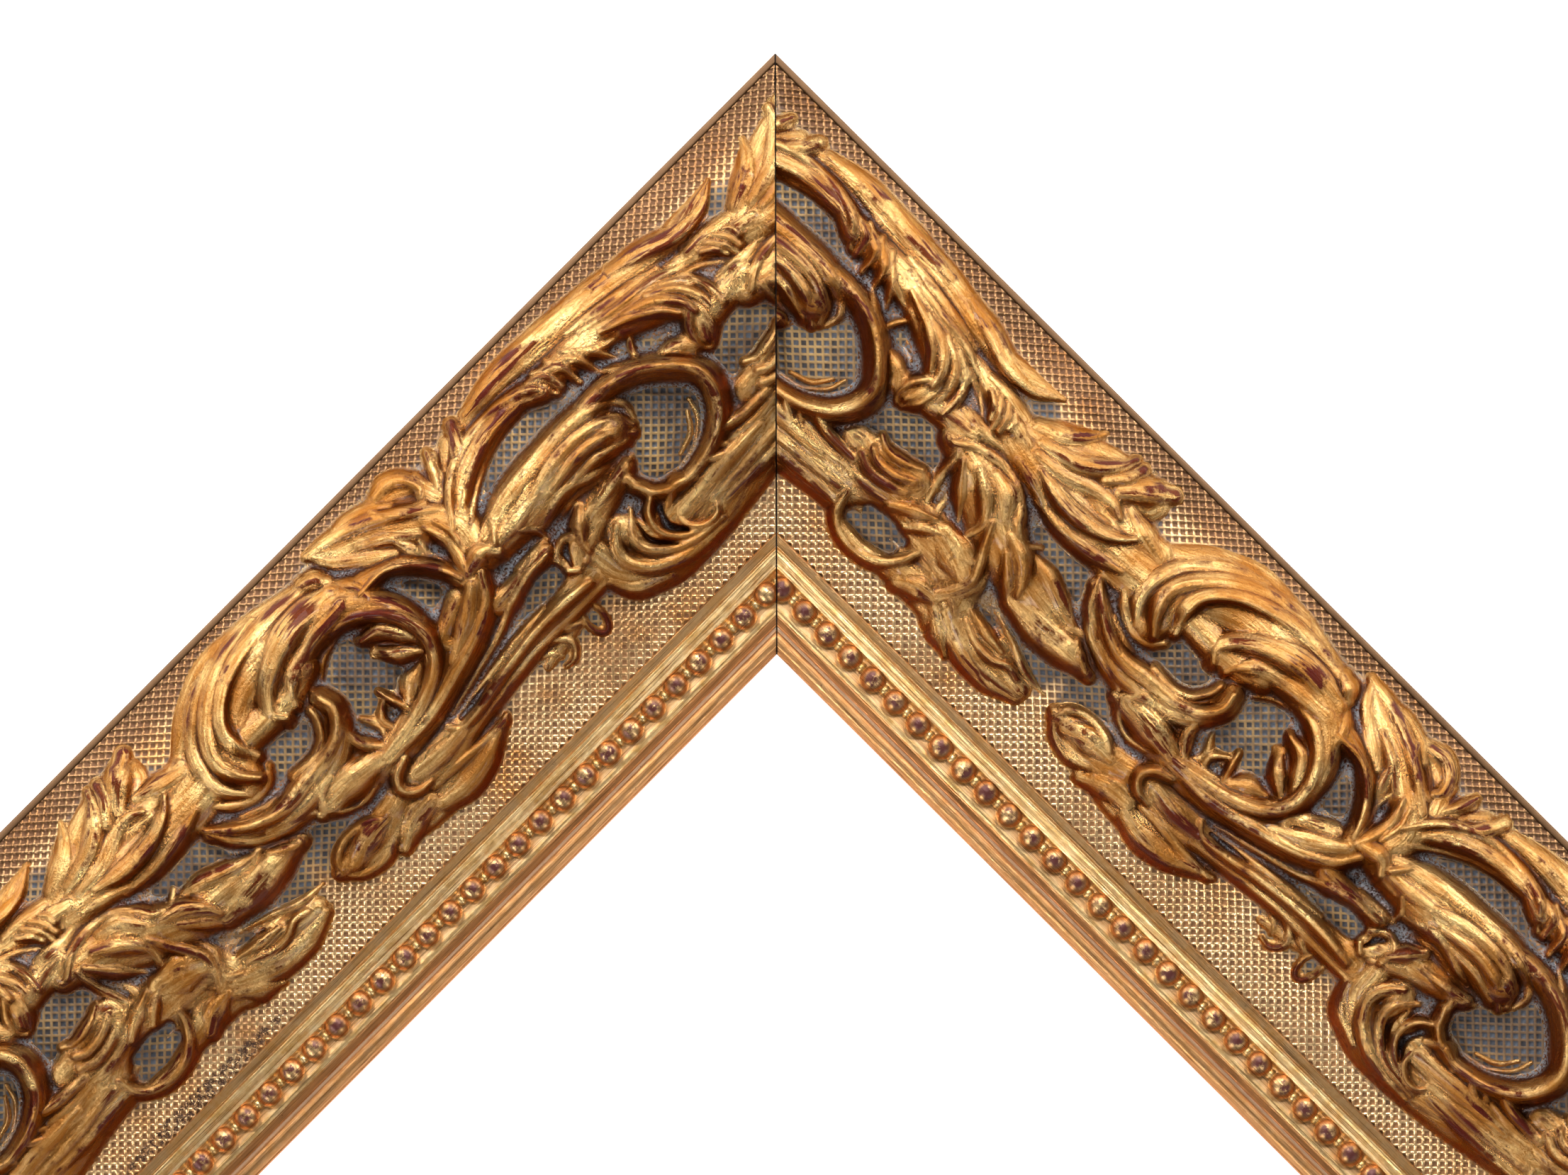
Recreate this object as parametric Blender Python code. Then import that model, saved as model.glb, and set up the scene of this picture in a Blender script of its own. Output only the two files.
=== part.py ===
"""Corner of a gilded picture frame moulding: two mitred lengths, each one solid.

Every length has the same cross-section, outer side to sight edge: a plain fillet, a cushion
with an acanthus scroll in high relief that repeats along it, a raised bead between fillets,
a bead course in a channel, and a rounded lip over the rabbet. The frame lies on its flat back.
The ornament is drawn in rail millimetres: u along the repeat, v in from the outer edge.
"""

import math

import bmesh
import bpy
import numpy as np

MM = 0.001

# Driving dimensions, in millimetres
RAIL_WIDTH = 89.0
RAIL_LENGTH = 288.0
MITRE_GAP = 0.3
RABBET_WIDTH = 7.0
RABBET_DEPTH = 10.0
REPEAT = 201.6
BEADS_PER_REPEAT = 30
BEAD_DIAMETER = 5.8
BEAD_LINE = 78.5
BEAD_CENTRE_HEIGHT = 14.5

# Where the ornament starts on each length, and where a bead's centre is, counted from the corner
LEFT_PHASE = 51.9
RIGHT_PHASE = 130.6
LEFT_BEAD = -0.96
RIGHT_BEAD = 6.2

# Height of the plain section over the back, from the outer edge inward
OUTER_EDGE_HEIGHT = 20.0
CUSHION_CREST = 30.2
CUSHION_CREST_AT = 29.0
CUSHION_FOOT = 16.4
CUSHION_END = 70.8
SECTION_STEPS = (
    (71.0, 16.9), (73.0, 16.9), (73.7, 18.1), (74.4, 17.6), (75.4, 14.6), (81.8, 14.4),
    (82.3, 15.6), (84.7, 15.4), (85.1, 14.4), (85.7, 15.6), (87.2, 16.2), (88.4, 15.4), (89.0, 14.8),
)

# Fineness of the faceted relief
CELL = 0.6
SHEET_STEP = 1.2
SHEET_MARGIN = 4.0
SHEET_TRIANGLES = 3500
BEAD_SEGMENTS = 6
BEAD_RINGS = 4
OVERSIZE = 20.0

GOLD = (0.62, 0.36, 0.11, 1.0)


def section_height(v):
    """Height of the plain moulding over the back, v mm in from the outer edge."""
    v = np.asarray(v, float)
    rise = CUSHION_CREST - OUTER_EDGE_HEIGHT
    outer = OUTER_EDGE_HEIGHT + rise * np.sin(0.5 * math.pi * np.clip(v / CUSHION_CREST_AT, 0, 1))
    fall = np.clip((v - CUSHION_CREST_AT) / (CUSHION_END - CUSHION_CREST_AT), 0, 1)
    inner = CUSHION_FOOT + (CUSHION_CREST - CUSHION_FOOT) * (0.5 + 0.5 * np.cos(math.pi * fall))
    cushion = np.where(v < CUSHION_CREST_AT, outer, inner)
    at, height = zip(*((CUSHION_END, CUSHION_FOOT),) + SECTION_STEPS)
    return np.where(v <= CUSHION_END, cushion, np.interp(v, at, height))


def smooth_path(points, step=1.0):
    """A smooth curve through the points, and each of its points' share of the way along."""
    p = np.array(points, float)
    ends = np.vstack([2 * p[0] - p[1], p, 2 * p[-1] - p[-2]])
    pieces = []
    for before, a, b, after in zip(ends, ends[1:], ends[2:], ends[3:]):
        count = max(2, int(np.hypot(*(b - a)) / step))
        t = np.linspace(0, 1, count, endpoint=False)[:, None]
        bend = (2 * before - 5 * a + 4 * b - after) * t**2 + (3 * a - before - 3 * b + after) * t**3
        pieces.append(0.5 * (2 * a + (b - before) * t + bend))
    curve = np.vstack(pieces + [p[-1:]])
    run = np.concatenate([[0.0], np.cumsum(np.hypot(*np.diff(curve, axis=0).T))])
    return curve, run / run[-1]


def spread(values, t):
    """Evenly spaced values, read off at t from 0 to 1."""
    values = np.atleast_1d(np.array(values, float))
    return np.interp(t, np.linspace(0, 1, len(values)), values)


class Carving:
    """One repeat of the ornament as heights over the cushion, built up stroke by stroke."""

    def __init__(self):
        self.columns = round(REPEAT / CELL)
        self.rows = round(CUSHION_END / CELL) + 1
        self.height = np.zeros((self.rows, self.columns))
        self.bed = np.zeros_like(self.height)

    def stroke(self, path, half, rise, lift=0.0, wall=2.2):
        """A rounded lobe along the path; half is its half width, lift the height it starts from."""
        curve, run = smooth_path(path)
        reach = np.max(half) + 4.0
        for turn in (-REPEAT, 0.0, REPEAT):
            line = curve + (turn, 0.0)
            first = np.maximum((line.min(0) - reach) / CELL, 0).astype(int)
            last = np.minimum((line.max(0) + reach) / CELL + 2, (self.columns, self.rows)).astype(int)
            if np.any(first >= last):
                continue
            u = np.arange(first[0], last[0])[None, :] * CELL
            v = np.arange(first[1], last[1])[:, None] * CELL
            nearest = np.full((last[1] - first[1], last[0] - first[0]), np.inf)
            place = np.zeros_like(nearest)
            for a, b, run_a, run_b in zip(line, line[1:], run, run[1:]):
                step = b - a
                share = np.clip(((u - a[0]) * step[0] + (v - a[1]) * step[1]) / (step @ step), 0, 1)
                away = (u - a[0] - share * step[0]) ** 2 + (v - a[1] - share * step[1]) ** 2
                closer = away < nearest
                nearest = np.where(closer, away, nearest)
                place = np.where(closer, run_a + (run_b - run_a) * share, place)
            width = spread(half, place)
            across = np.sqrt(nearest) / width
            crown = spread(rise, place) * np.clip(1 - across**2, 0, 1) ** 0.6
            edge = wall * width * np.maximum(across - 1, 0)
            window = (slice(first[1], last[1]), slice(first[0], last[0]))
            self.height[window] = np.maximum(self.height[window], spread(lift, place) + crown - edge)

    def settle(self):
        """Keep what is laid so far as the bed that the leaves rise from."""
        self.bed = self.height.copy()

    def leaf(self, path, half, rise, root=0.5, tip=0.5):
        """A leaf or flute on the bed; it narrows to root and tip, shares of its half width."""
        curve, run = smooth_path(path)
        column = np.round(curve[:, 0] / CELL).astype(int) % self.columns
        row = np.clip(np.round(curve[:, 1] / CELL).astype(int), 0, self.rows - 1)
        bed = np.interp(np.linspace(0, 1, 9), run, self.bed[row, column])
        taper = np.array([root, 1.0, 1.0, tip])
        self.stroke(path, half * taper, rise * taper, bed)

    def read(self, u, v):
        """Heights at the places u, v, between the cells."""
        x = np.mod(u, REPEAT) / CELL
        y = np.clip(v / CELL, 0, self.rows - 1.001)
        i = np.floor(x).astype(int)
        j = np.floor(y).astype(int)
        x = x - i
        y = y - j
        right = (i + 1) % self.columns
        i = i % self.columns
        top = self.height[j, i] * (1 - x) + self.height[j, right] * x
        bottom = self.height[j + 1, i] * (1 - x) + self.height[j + 1, right] * x
        return np.where(v < CUSHION_END, top * (1 - y) + bottom * y, 0.0)


def outer_swath_masses(c):
    """The long leaf along the outer side, and the shoulder under it."""
    c.stroke([(150.5, 9.5), (172, 7.8), (188, 8.6), (202, 10.6), (212, 12), (224.5, 9)],
             [1.2, 3.4, 3.6, 3.4, 3, 0.5], [1.2, 3.4, 3.4, 3, 2.6, 0.8])
    c.stroke([(166, 13.5), (176, 14.5), (188, 15), (198, 17), (206, 21)], [2, 4, 4.5, 4.5, 3], 4.6)


def frond_masses(c):
    """The frond of fingers between two scrolls."""
    c.stroke([(2, 15.5), (12, 18.5), (24, 22.5), (40, 24.5), (56, 24.5), (66, 23)],
             [1.2, 3.5, 5, 5.5, 6, 6], [2, 3, 3.8, 4, 3.8, 3.6])
    c.stroke([(22, 19), (32, 16), (41, 13), (50, 11.5)], [3, 5, 5.2, 5], 2.8)
    c.stroke([(44, 18), (52, 19), (60, 18)], [4, 4, 3], 2.8)


def great_scroll_masses(c):
    """The great scroll: its skirt, its crescent, and the cup that its tip curls into."""
    c.stroke([(61, 17), (68, 13), (78, 9), (90, 8.2), (100, 9.5), (108, 11)],
             [2.5, 4.5, 5, 4, 3.4, 3], [1.6, 2.4, 2.6, 2.8, 3.4, 3.8])
    c.stroke([(69, 30), (70, 22), (77, 15.5), (87, 13.5), (98, 14.5), (108, 17.5), (114, 23.5),
              (116.5, 31), (114, 38.5), (105, 43.5), (92, 46)],
             [4, 5.5, 6, 7, 6.5, 5, 3.4, 2.6, 2.6, 2.8, 3], [4, 5.5, 6.6, 6.8, 6.6, 5.5, 4.4])
    c.stroke([(73, 23), (84, 23), (93, 21)], [4, 4.2, 4], 5.1)
    c.stroke([(55, 32), (62, 37), (72, 40.5), (84, 39.5), (90.5, 35), (91, 28)],
             [2, 3.6, 4.2, 4, 2.6, 2.2], [3, 4.4, 4.8, 4.8, 5, 5])


def lower_masses(c):
    """The body of leaves and petals along the inner side."""
    c.stroke([(12, 31.5), (22, 33.5), (32, 38), (41, 42), (52, 44), (60, 45.5), (67.5, 46.5)],
             [3, 5.5, 7, 5.4, 5, 4.6, 1.6], [4, 5.2, 4.8, 4.2, 2.6])
    c.stroke([(1, 54), (10, 49.5), (22, 49), (33, 50), (36, 55)], [5, 4, 6, 6, 5], 4.2)
    c.stroke([(-22, 54), (-10, 55), (2, 55)], [6, 6.5, 5.5], 3.9)
    c.stroke([(8, 60.5), (18, 60), (28, 58), (38, 58), (50, 58), (59, 58.5)],
             [2, 2.6, 4.5, 5, 5.6, 2.6], 3.1)
    c.stroke([(-2, 46), (6, 45.5), (13, 44)], [4, 4.5, 4.5], 3.7)


def stem_masses(c):
    """The double stem that leaves the scroll, and the buds and husks under it."""
    c.stroke([(74, 45.5), (84, 45.5), (96, 47.2), (110, 45.5), (122, 41), (131, 34)],
             [1.6, 4.6, 3.6, 3.4, 4.2, 3.6], [3.5, 4.8, 4.8, 5, 5.4, 6])
    c.stroke([(90, 53.5), (100, 54.5), (112, 53.3), (125, 51), (138, 50.5), (149, 50)],
             [4.2, 4.6, 2.8, 3.4, 3, 4], 3.6)
    c.stroke([(131, 40.5), (138, 40), (146, 39.5)], [3, 2.2, 2], 4.6)
    c.stroke([(67.5, 56.5), (75, 57), (84, 56), (92, 54)], [1.5, 5, 4.5, 4], 3.4)
    c.stroke([(80.5, 62), (87, 61), (98, 61), (108, 60.5), (115.5, 58)], [1.2, 3.4, 3.8, 3, 1], 2.6)


def spear_masses(c):
    """The spear leaf that splits the two scrolls, with its lobes, and the arched leaf."""
    c.stroke([(109.5, 5.2), (115, 8), (124, 12), (132, 17), (137, 23), (136, 30)],
             [0.9, 4, 6.5, 6, 4.6, 4], [2, 3.4, 4.2, 4.8, 5.4, 6])
    c.stroke([(126, 7.6), (132, 8), (136, 11), (138, 16)], [2.4, 3.2, 2.6, 3], 3)
    c.stroke([(139.5, 16), (142.8, 9)], [3, 1.6], 2.8)
    c.stroke([(142, 17), (150, 8.5)], [3, 2.2], 2.8)
    c.stroke([(113, 17), (122, 19.5), (127, 25), (130, 33)], [2.6, 2, 1.6, 2.6], 4.8)
    c.stroke([(136, 24.5), (143, 18), (152, 14.6), (162, 14), (169, 16)], [2.4, 3, 2.2, 2.2, 3], 4.4)


def lesser_scroll_masses(c):
    """The great leaf, the volute it rolls into, and the scroll under it."""
    c.stroke([(132, 31), (142, 30), (155, 28.2), (168, 28), (180, 29), (188, 31)],
             [4, 6.4, 8, 8, 6.5, 4], [5.6, 6.4, 7, 7.4, 6.8, 5.4])
    c.stroke([(188, 26), (194, 32), (194, 38.5), (188, 45), (178, 47.5), (170, 44.5), (168.5, 40)],
             [2.4, 2, 2.4, 2, 1.6, 1.6, 1.6], [5, 6, 6.6, 6, 5, 4.6, 4.6])
    c.stroke([(148, 46), (156, 42), (164, 40.5), (170, 39.5)], [3, 4.2, 3.6, 2], 4.5)
    c.stroke([(153, 47), (155, 55), (165, 60), (178, 58.5), (190, 56), (200, 54)],
             [3.5, 5.5, 4.6, 5.6, 6.4, 6.4], 4)
    c.stroke([(160, 48), (164, 53), (172, 54)], 4, 3.8)
    c.stroke([(190, 18), (199, 21), (203, 26), (201, 32.5)], [3, 4, 4, 1.2], 4.8)
    c.stroke([(189, 29), (197, 30.5), (205, 29), (216, 28)], [2, 3.6, 3.4, 3.6], 3.8)


def frond_leaves(c):
    """Fingers, blade and ridge of the frond, and the little paw at its root."""
    c.leaf([(23, 17), (29, 14.5), (34.2, 7.8)], 2.1, 1.4)
    c.leaf([(26, 18.7), (33, 17.2), (38, 14.2), (42.6, 7.2)], 2.2, 1.7)
    c.leaf([(45, 14.2), (49, 10.5), (53.4, 7)], 3, 1.8)
    c.leaf([(27, 21.2), (34, 20.6), (40, 18.3), (48.6, 18.6)], 1.9, 1.4)
    c.leaf([(30, 23), (38, 24.6), (46, 24), (54, 19.4)], 2, 1.7, tip=0.3)
    c.leaf([(34, 28), (42, 28.6), (50, 27.8), (56.5, 26.2)], 1.6, 1.5)
    c.leaf([(11, 18.6), (15, 23.4)], 1.5, 1.7)
    c.leaf([(15.6, 18), (18, 23.6)], 1.5, 1.7)


def inner_leaves(c):
    """The curved ridge, spears, claws and eye along the inner side."""
    c.leaf([(13, 31.8), (17, 29.2), (23, 28), (29, 29.2), (33, 32.5), (36, 36), (41.3, 34.4)], 1.6, 1.9)
    c.leaf([(15.2, 32.4), (15.8, 38), (17.6, 44.2)], 1.5, 1.7)
    c.leaf([(17, 33), (21, 37.8), (25.2, 42.6)], 1.7, 1.9)
    c.leaf([(20.5, 32), (26, 35.6), (29.2, 39.6), (28.6, 43)], 1.7, 1.4)
    c.leaf([(30.4, 38), (32.6, 42.4), (36, 49.4), (33, 56)], 1.4, 1.8)
    c.leaf([(35, 37.4), (40, 39.2), (44.8, 45)], 2, 1.6)
    c.leaf([(41, 36.8), (46.5, 38.2), (53, 40.6), (57.5, 41.4)], 2.4, 1.7)
    c.leaf([(45, 46), (54, 46.4), (67, 46.2)], 3, 1.7)
    for fall in (0.0, 3.0, 6.0):
        c.leaf([(12.6, 40.4 + fall), (9, 42 + fall), (4.5, 42.6 + fall), (1.5, 41.3 + fall)], 1.2, 1.7)
    c.leaf([(12.6, 50.4), (16.6, 48), (22, 45.4)], 1.5, 1.7, tip=0.3)
    c.leaf([(4.4, 54.6), (5.4, 58.8), (9, 61.4), (14, 62), (19, 60.4), (24, 53)], 1.6, 1.6)
    c.leaf([(37, 57.6), (45, 60.6), (53, 61.4), (59.6, 60.2)], 2.7, 1.3)


def great_scroll_leaves(c):
    """Flutes of the great scroll, its spoon-shaped lobes, its rims and its heart."""
    c.leaf([(80, 7.2), (66, 15.5), (63, 21.5), (63.3, 27.5), (66.6, 32)], 1.9, 1.4)
    c.leaf([(92, 6.8), (82, 8.4), (74, 12.4), (66.4, 22.5), (67.8, 27.5), (70.6, 31)], 2, 2.2)
    c.leaf([(105, 9.6), (95, 8.8), (85, 10), (77.4, 13), (71.8, 20), (73.4, 27.4)], 1.6, 2)
    c.leaf([(60, 28.4), (62.6, 31.2), (67, 33.3), (73.6, 30.4)], 1.6, 1.6)
    c.leaf([(108, 14.4), (99, 13.6), (91, 15.3), (84.8, 18.8), (81.7, 23.2), (83.4, 26.2)], 2.4, 1.9)
    c.leaf([(108, 17), (99, 17), (92, 18.8), (85.2, 25.6)], 1.9, 1.4)
    c.leaf([(98.6, 20.8), (104.5, 20.2), (109.5, 22), (115.8, 31), (113, 40), (101, 45), (92, 46.2)], 1.7, 2)
    c.leaf([(105, 8.8), (109.4, 12)], 1.9, 2.2)
    c.stroke([(105.6, 26.5), (110, 27.5), (114.6, 35)], [0.8, 1.9, 0.8], 2, 3.6)
    c.stroke([(105.6, 29.6), (109, 33), (113.6, 36.6)], [1.4, 1.9, 0.6], 2, [1.6, 3.4])
    c.stroke([(104, 42), (110.6, 38)], [1.6, 1], 1.8, 2.6)
    c.leaf([(54.8, 30.8), (63.6, 37.4), (76.5, 38.4), (89, 35.4), (91.6, 31.6), (91.2, 28)], 1.8, 1.7)
    c.leaf([(54.4, 30.4), (57, 36), (61.2, 40), (73.6, 43.8)], 1.2, 1.4)


def stem_leaves(c):
    """Ridges of the double stem, the buds, the cap that starts it, and the curls below it."""
    c.leaf([(77, 44.6), (91, 46)], 3.2, 1.9)
    c.leaf([(68, 57.4), (69.8, 54), (74, 52.4), (82.4, 55)], 1.2, 1.6)
    c.leaf([(71.4, 57.4), (76, 56), (83, 55.6)], 2.6, 1.3)
    c.leaf([(81, 62.6), (86, 60), (91.6, 59.4)], 2.8, 1.7)
    c.leaf([(93.4, 61.6), (105, 61.8), (112, 59.4)], 2.4, 1.4)
    c.leaf([(94.6, 49.4), (89.4, 53.6), (94.8, 56.6)], 1.4, 2.2)
    c.leaf([(92, 47.4), (104, 47), (115, 44.4), (130, 38.4), (133.4, 33.6)], 1.6, 1.6)
    c.leaf([(108, 49.8), (118, 47.4), (127, 45), (139, 40.8), (145.6, 40.4)], 1.3, 2)
    c.leaf([(105.6, 51.6), (114, 53), (131, 50.2), (147.6, 50.8)], 1.4, 1.5)
    c.stroke([(130, 54.4), (135.6, 56), (133, 59.6), (130.6, 58.6)], 0.9, 1.9)
    c.stroke([(141.4, 54.6), (142.6, 60), (145, 54.6)], 0.8, 1.5)


def spear_leaves(c):
    """Blades and fingers of the spear leaf, and the ridges and teeth of the arched leaf."""
    c.leaf([(109.6, 4.9), (117, 6.6), (124, 9.4), (136.4, 17.6)], 1.8, 1.6)
    c.leaf([(110.6, 6), (113, 9.8), (118, 13.6), (123.6, 17.6)], 2.3, 1.5)
    c.leaf([(125.8, 8.2), (127.8, 11.4), (135, 14.8)], 1.2, 1.7)
    c.leaf([(128.6, 6.6), (135.4, 8.4), (135.6, 13)], 1.8, 1.6)
    c.leaf([(139.4, 14.4), (142.8, 7.4)], 1.2, 1.5)
    c.leaf([(145.6, 13.8), (150.6, 7)], 1.7, 1.6)
    c.leaf([(124.6, 14), (126.2, 18.6), (128.8, 24.4)], 1.4, 1.8)
    c.leaf([(131.4, 18.4), (133, 24.4), (130.9, 32)], 1.8, 2.2, root=0.3, tip=0.3)
    c.leaf([(112, 18.8), (119, 18.8), (127.6, 26.4), (129.6, 31.4)], 1.1, 1.5)
    c.leaf([(135.6, 23), (140.6, 16.8), (147, 12.8), (161, 11.6), (170.8, 18.4)], 1.2, 1.8)
    c.leaf([(138.6, 25.2), (151, 18.4), (163, 15.8)], 1.1, 1.5)
    for along in (0.0, 3.9, 7.8, 11.7):
        drop = 0.3 * along
        c.leaf([(167 + along, 12), (171.4 + along, 15 + drop), (172.6 + along, 18.5 + drop)], 1.3, 1.8)
    c.leaf([(179.4, 20.4), (183, 23.6), (187, 26)], 1.4, 1.8)


def lesser_scroll_leaves(c):
    """Flutes of the great leaf, the rim of the volute, the lower scroll and the hanging leaf."""
    c.leaf([(138, 28), (149, 24.4), (160, 21.8), (170, 21.4), (182.6, 25.4)], 2.3, 1.5)
    c.leaf([(151, 27.4), (162, 25), (171, 24.8), (178, 27.6)], 1.7, 1.6)
    c.leaf([(157, 29.6), (165, 27.8), (173, 28.6), (180.4, 34)], 2, 1.9)
    c.leaf([(148, 35.6), (157, 33.6), (171, 37)], 1.4, 1.3)
    c.leaf([(181.4, 24.6), (191, 30.4), (194.6, 35.4), (189, 45), (175, 47.2), (169.6, 41)], 1.9, 2.2)
    c.leaf([(160, 46.4), (156.4, 54), (160, 58.4), (167, 61.4), (177, 62.3)], 1.6, 1.8)
    c.leaf([(164.4, 46.2), (161, 54), (164.6, 57.8), (177, 61)], 1.3, 2)
    c.leaf([(170, 46.8), (165.6, 53.4), (172.6, 59.6)], 1.1, 1.8)
    c.leaf([(172, 54.2), (186, 53.2), (200, 52.6)], 2.1, 1.3)
    c.leaf([(148, 47.4), (146, 43), (150, 40.4), (152.4, 46)], 1, 2)
    c.leaf([(152.6, 43.8), (157.4, 38.2)], 1.8, 2)
    c.leaf([(188, 47.2), (194, 48.6), (202, 48.9)], 1.2, 1.5)
    c.leaf([(181, 10.8), (190, 12.2), (204, 14.6)], 1.2, 1.4)
    for shift in (0.0, 3.4, 6.8, 10.2):
        near = shift * 0.8
        c.leaf([(187 + shift, 15.6), (195 + near, 18.6), (200.6 + near, 25 + shift * 0.4)], 1.3, 1.6)
    c.leaf([(202, 25.8), (199, 31), (200.2, 34.2)], 1, 1.7)


def carve_repeat():
    """The heights of one whole repeat."""
    c = Carving()
    masses = (outer_swath_masses, frond_masses, great_scroll_masses, lower_masses, stem_masses,
              spear_masses, lesser_scroll_masses)
    leaves = (frond_leaves, inner_leaves, great_scroll_leaves, stem_leaves, spear_leaves,
              lesser_scroll_leaves)
    for lay in masses:
        lay(c)
    c.settle()
    for lay in leaves:
        lay(c)
    c.height = np.maximum(c.height, 0.0)
    return c


def add_object(name, mesh, collection):
    obj = bpy.data.objects.new(name, mesh)
    collection.objects.link(obj)
    return obj


def plain_mesh(obj):
    """The object's shape with its modifiers applied, as a mesh of its own."""
    evaluated = obj.evaluated_get(bpy.context.evaluated_depsgraph_get())
    return bpy.data.meshes.new_from_object(evaluated)


def face_outward(bm):
    bm.normal_update()
    bmesh.ops.recalc_face_normals(bm, faces=bm.faces)


def relief_solid(name, start, phase, carving, collection):
    """The carved face of a length as a sheet, thinned to few facets, and the wood under it."""
    length = RAIL_LENGTH + 2 * SHEET_MARGIN
    width = RAIL_WIDTH + 2 * SHEET_MARGIN
    middle = start + RAIL_LENGTH / 2
    bm = bmesh.new()
    bmesh.ops.create_grid(bm, x_segments=round(length / SHEET_STEP), y_segments=round(width / SHEET_STEP),
                          size=0.5)
    for vert in bm.verts:
        vert.co = (middle + vert.co.x * length, -RAIL_WIDTH / 2 + vert.co.y * width, 0.0)
    snap_rows_to_section(bm)
    s = np.array([vert.co.x for vert in bm.verts])
    v = np.array([-vert.co.y for vert in bm.verts])
    height = section_height(np.clip(v, 0, RAIL_WIDTH)) + carving.read(s + phase, v)
    for vert, z in zip(bm.verts, height):
        vert.co.z = z
    bmesh.ops.triangulate(bm, faces=bm.faces)
    dense = len(bm.faces)
    sheet = bpy.data.meshes.new(name + "_sheet")
    bm.to_mesh(sheet)
    bm.free()
    draft = add_object(name + "_sheet", sheet, collection)
    thin = draft.modifiers.new("fewer facets", "DECIMATE")
    thin.ratio = SHEET_TRIANGLES / dense
    thinned = plain_mesh(draft)
    bpy.data.objects.remove(draft)

    bm = bmesh.new()
    bm.from_mesh(thinned)
    rim = [edge for edge in bm.edges if edge.is_boundary]
    extruded = bmesh.ops.extrude_edge_only(bm, edges=rim)["geom"]
    for vert in extruded:
        if isinstance(vert, bmesh.types.BMVert):
            vert.co.z = -OVERSIZE
    floor = [edge for edge in extruded if isinstance(edge, bmesh.types.BMEdge) and edge.is_boundary]
    bmesh.ops.edgeloop_fill(bm, edges=floor)
    face_outward(bm)
    bmesh.ops.scale(bm, vec=(MM, MM, MM), verts=bm.verts)
    mesh = bpy.data.meshes.new(name)
    bm.to_mesh(mesh)
    bm.free()
    return add_object(name, mesh, collection)


def snap_rows_to_section(bm):
    """Move the nearest row of the sheet onto each corner of the stepped inner section."""
    rows = sorted({round(-vert.co.y, 4) for vert in bm.verts})
    corners = [CUSHION_END] + [at for at, _ in SECTION_STEPS]
    moved = {}
    free = [row for row in rows if row > CUSHION_END - SHEET_STEP]
    for index, corner in enumerate(corners):
        moved[free[index]] = corner
    for index, row in enumerate(free[len(corners):], start=1):
        moved[row] = RAIL_WIDTH + index * SHEET_STEP
    for vert in bm.verts:
        row = round(-vert.co.y, 4)
        if row in moved:
            vert.co.y = -moved[row]


def box(name, low, high, collection):
    """A box between two corners given in rail millimetres: along, inward, up."""
    bm = bmesh.new()
    bmesh.ops.create_cube(bm, size=1.0)
    for vert in bm.verts:
        share = [c + 0.5 for c in vert.co]
        along, inward, up = (lo + (hi - lo) * f for lo, hi, f in zip(low, high, share))
        vert.co = (along * MM, -inward * MM, up * MM)
    face_outward(bm)
    mesh = bpy.data.meshes.new(name)
    bm.to_mesh(mesh)
    bm.free()
    return add_object(name, mesh, collection)


def mitred_blank(name, start, collection):
    """The squared length with its mitre sawn, which bounds everything else."""
    blank = box(name, (start, 0, 0), (start + RAIL_LENGTH, RAIL_WIDTH, CUSHION_CREST + OVERSIZE), collection)
    side = 1 if start == 0 else -1
    offset = side * MITRE_GAP / 2 * math.sqrt(2) * MM
    bm = bmesh.new()
    bm.from_mesh(blank.data)
    geometry = bm.verts[:] + bm.edges[:] + bm.faces[:]
    cut = bmesh.ops.bisect_plane(bm, geom=geometry, plane_co=(offset, 0, 0), plane_no=(-side, -1, 0),
                                 clear_outer=True)
    sawn = [edge for edge in cut["geom_cut"] if isinstance(edge, bmesh.types.BMEdge)]
    bmesh.ops.edgeloop_fill(bm, edges=sawn)
    face_outward(bm)
    bm.to_mesh(blank.data)
    bm.free()
    return blank


def bead_course(name, start, one_bead, collection):
    """The row of beads along a length, each a ball of few sides sunk in the channel."""
    pitch = REPEAT / BEADS_PER_REPEAT
    first = math.ceil((start - SHEET_MARGIN / 2 - one_bead) / pitch)
    last = math.floor((start + RAIL_LENGTH + SHEET_MARGIN / 2 - one_bead) / pitch)
    bm = bmesh.new()
    for index in range(first, last + 1):
        ball = bmesh.ops.create_uvsphere(bm, u_segments=BEAD_SEGMENTS, v_segments=BEAD_RINGS,
                                         radius=BEAD_DIAMETER / 2 * MM)["verts"]
        place = (index * pitch + one_bead, -BEAD_LINE, BEAD_CENTRE_HEIGHT)
        bmesh.ops.translate(bm, verts=ball, vec=[c * MM for c in place])
    mesh = bpy.data.meshes.new(name)
    bm.to_mesh(mesh)
    bm.free()
    return add_object(name, mesh, collection)


def boolean(obj, operation, other):
    cut = obj.modifiers.new(operation.lower() + " " + other.name, "BOOLEAN")
    cut.operation = operation
    cut.solver = "EXACT"
    cut.object = other


def gilded_material():
    """Burnished gold leaf over red clay and gesso, on a wooden moulding."""
    material = bpy.data.materials.new("antique gilding")
    material.use_nodes = True
    shader = material.node_tree.nodes["Principled BSDF"]
    shader.inputs["Base Color"].default_value = GOLD
    shader.inputs["Metallic"].default_value = 0.9
    shader.inputs["Roughness"].default_value = 0.35
    return material


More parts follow.
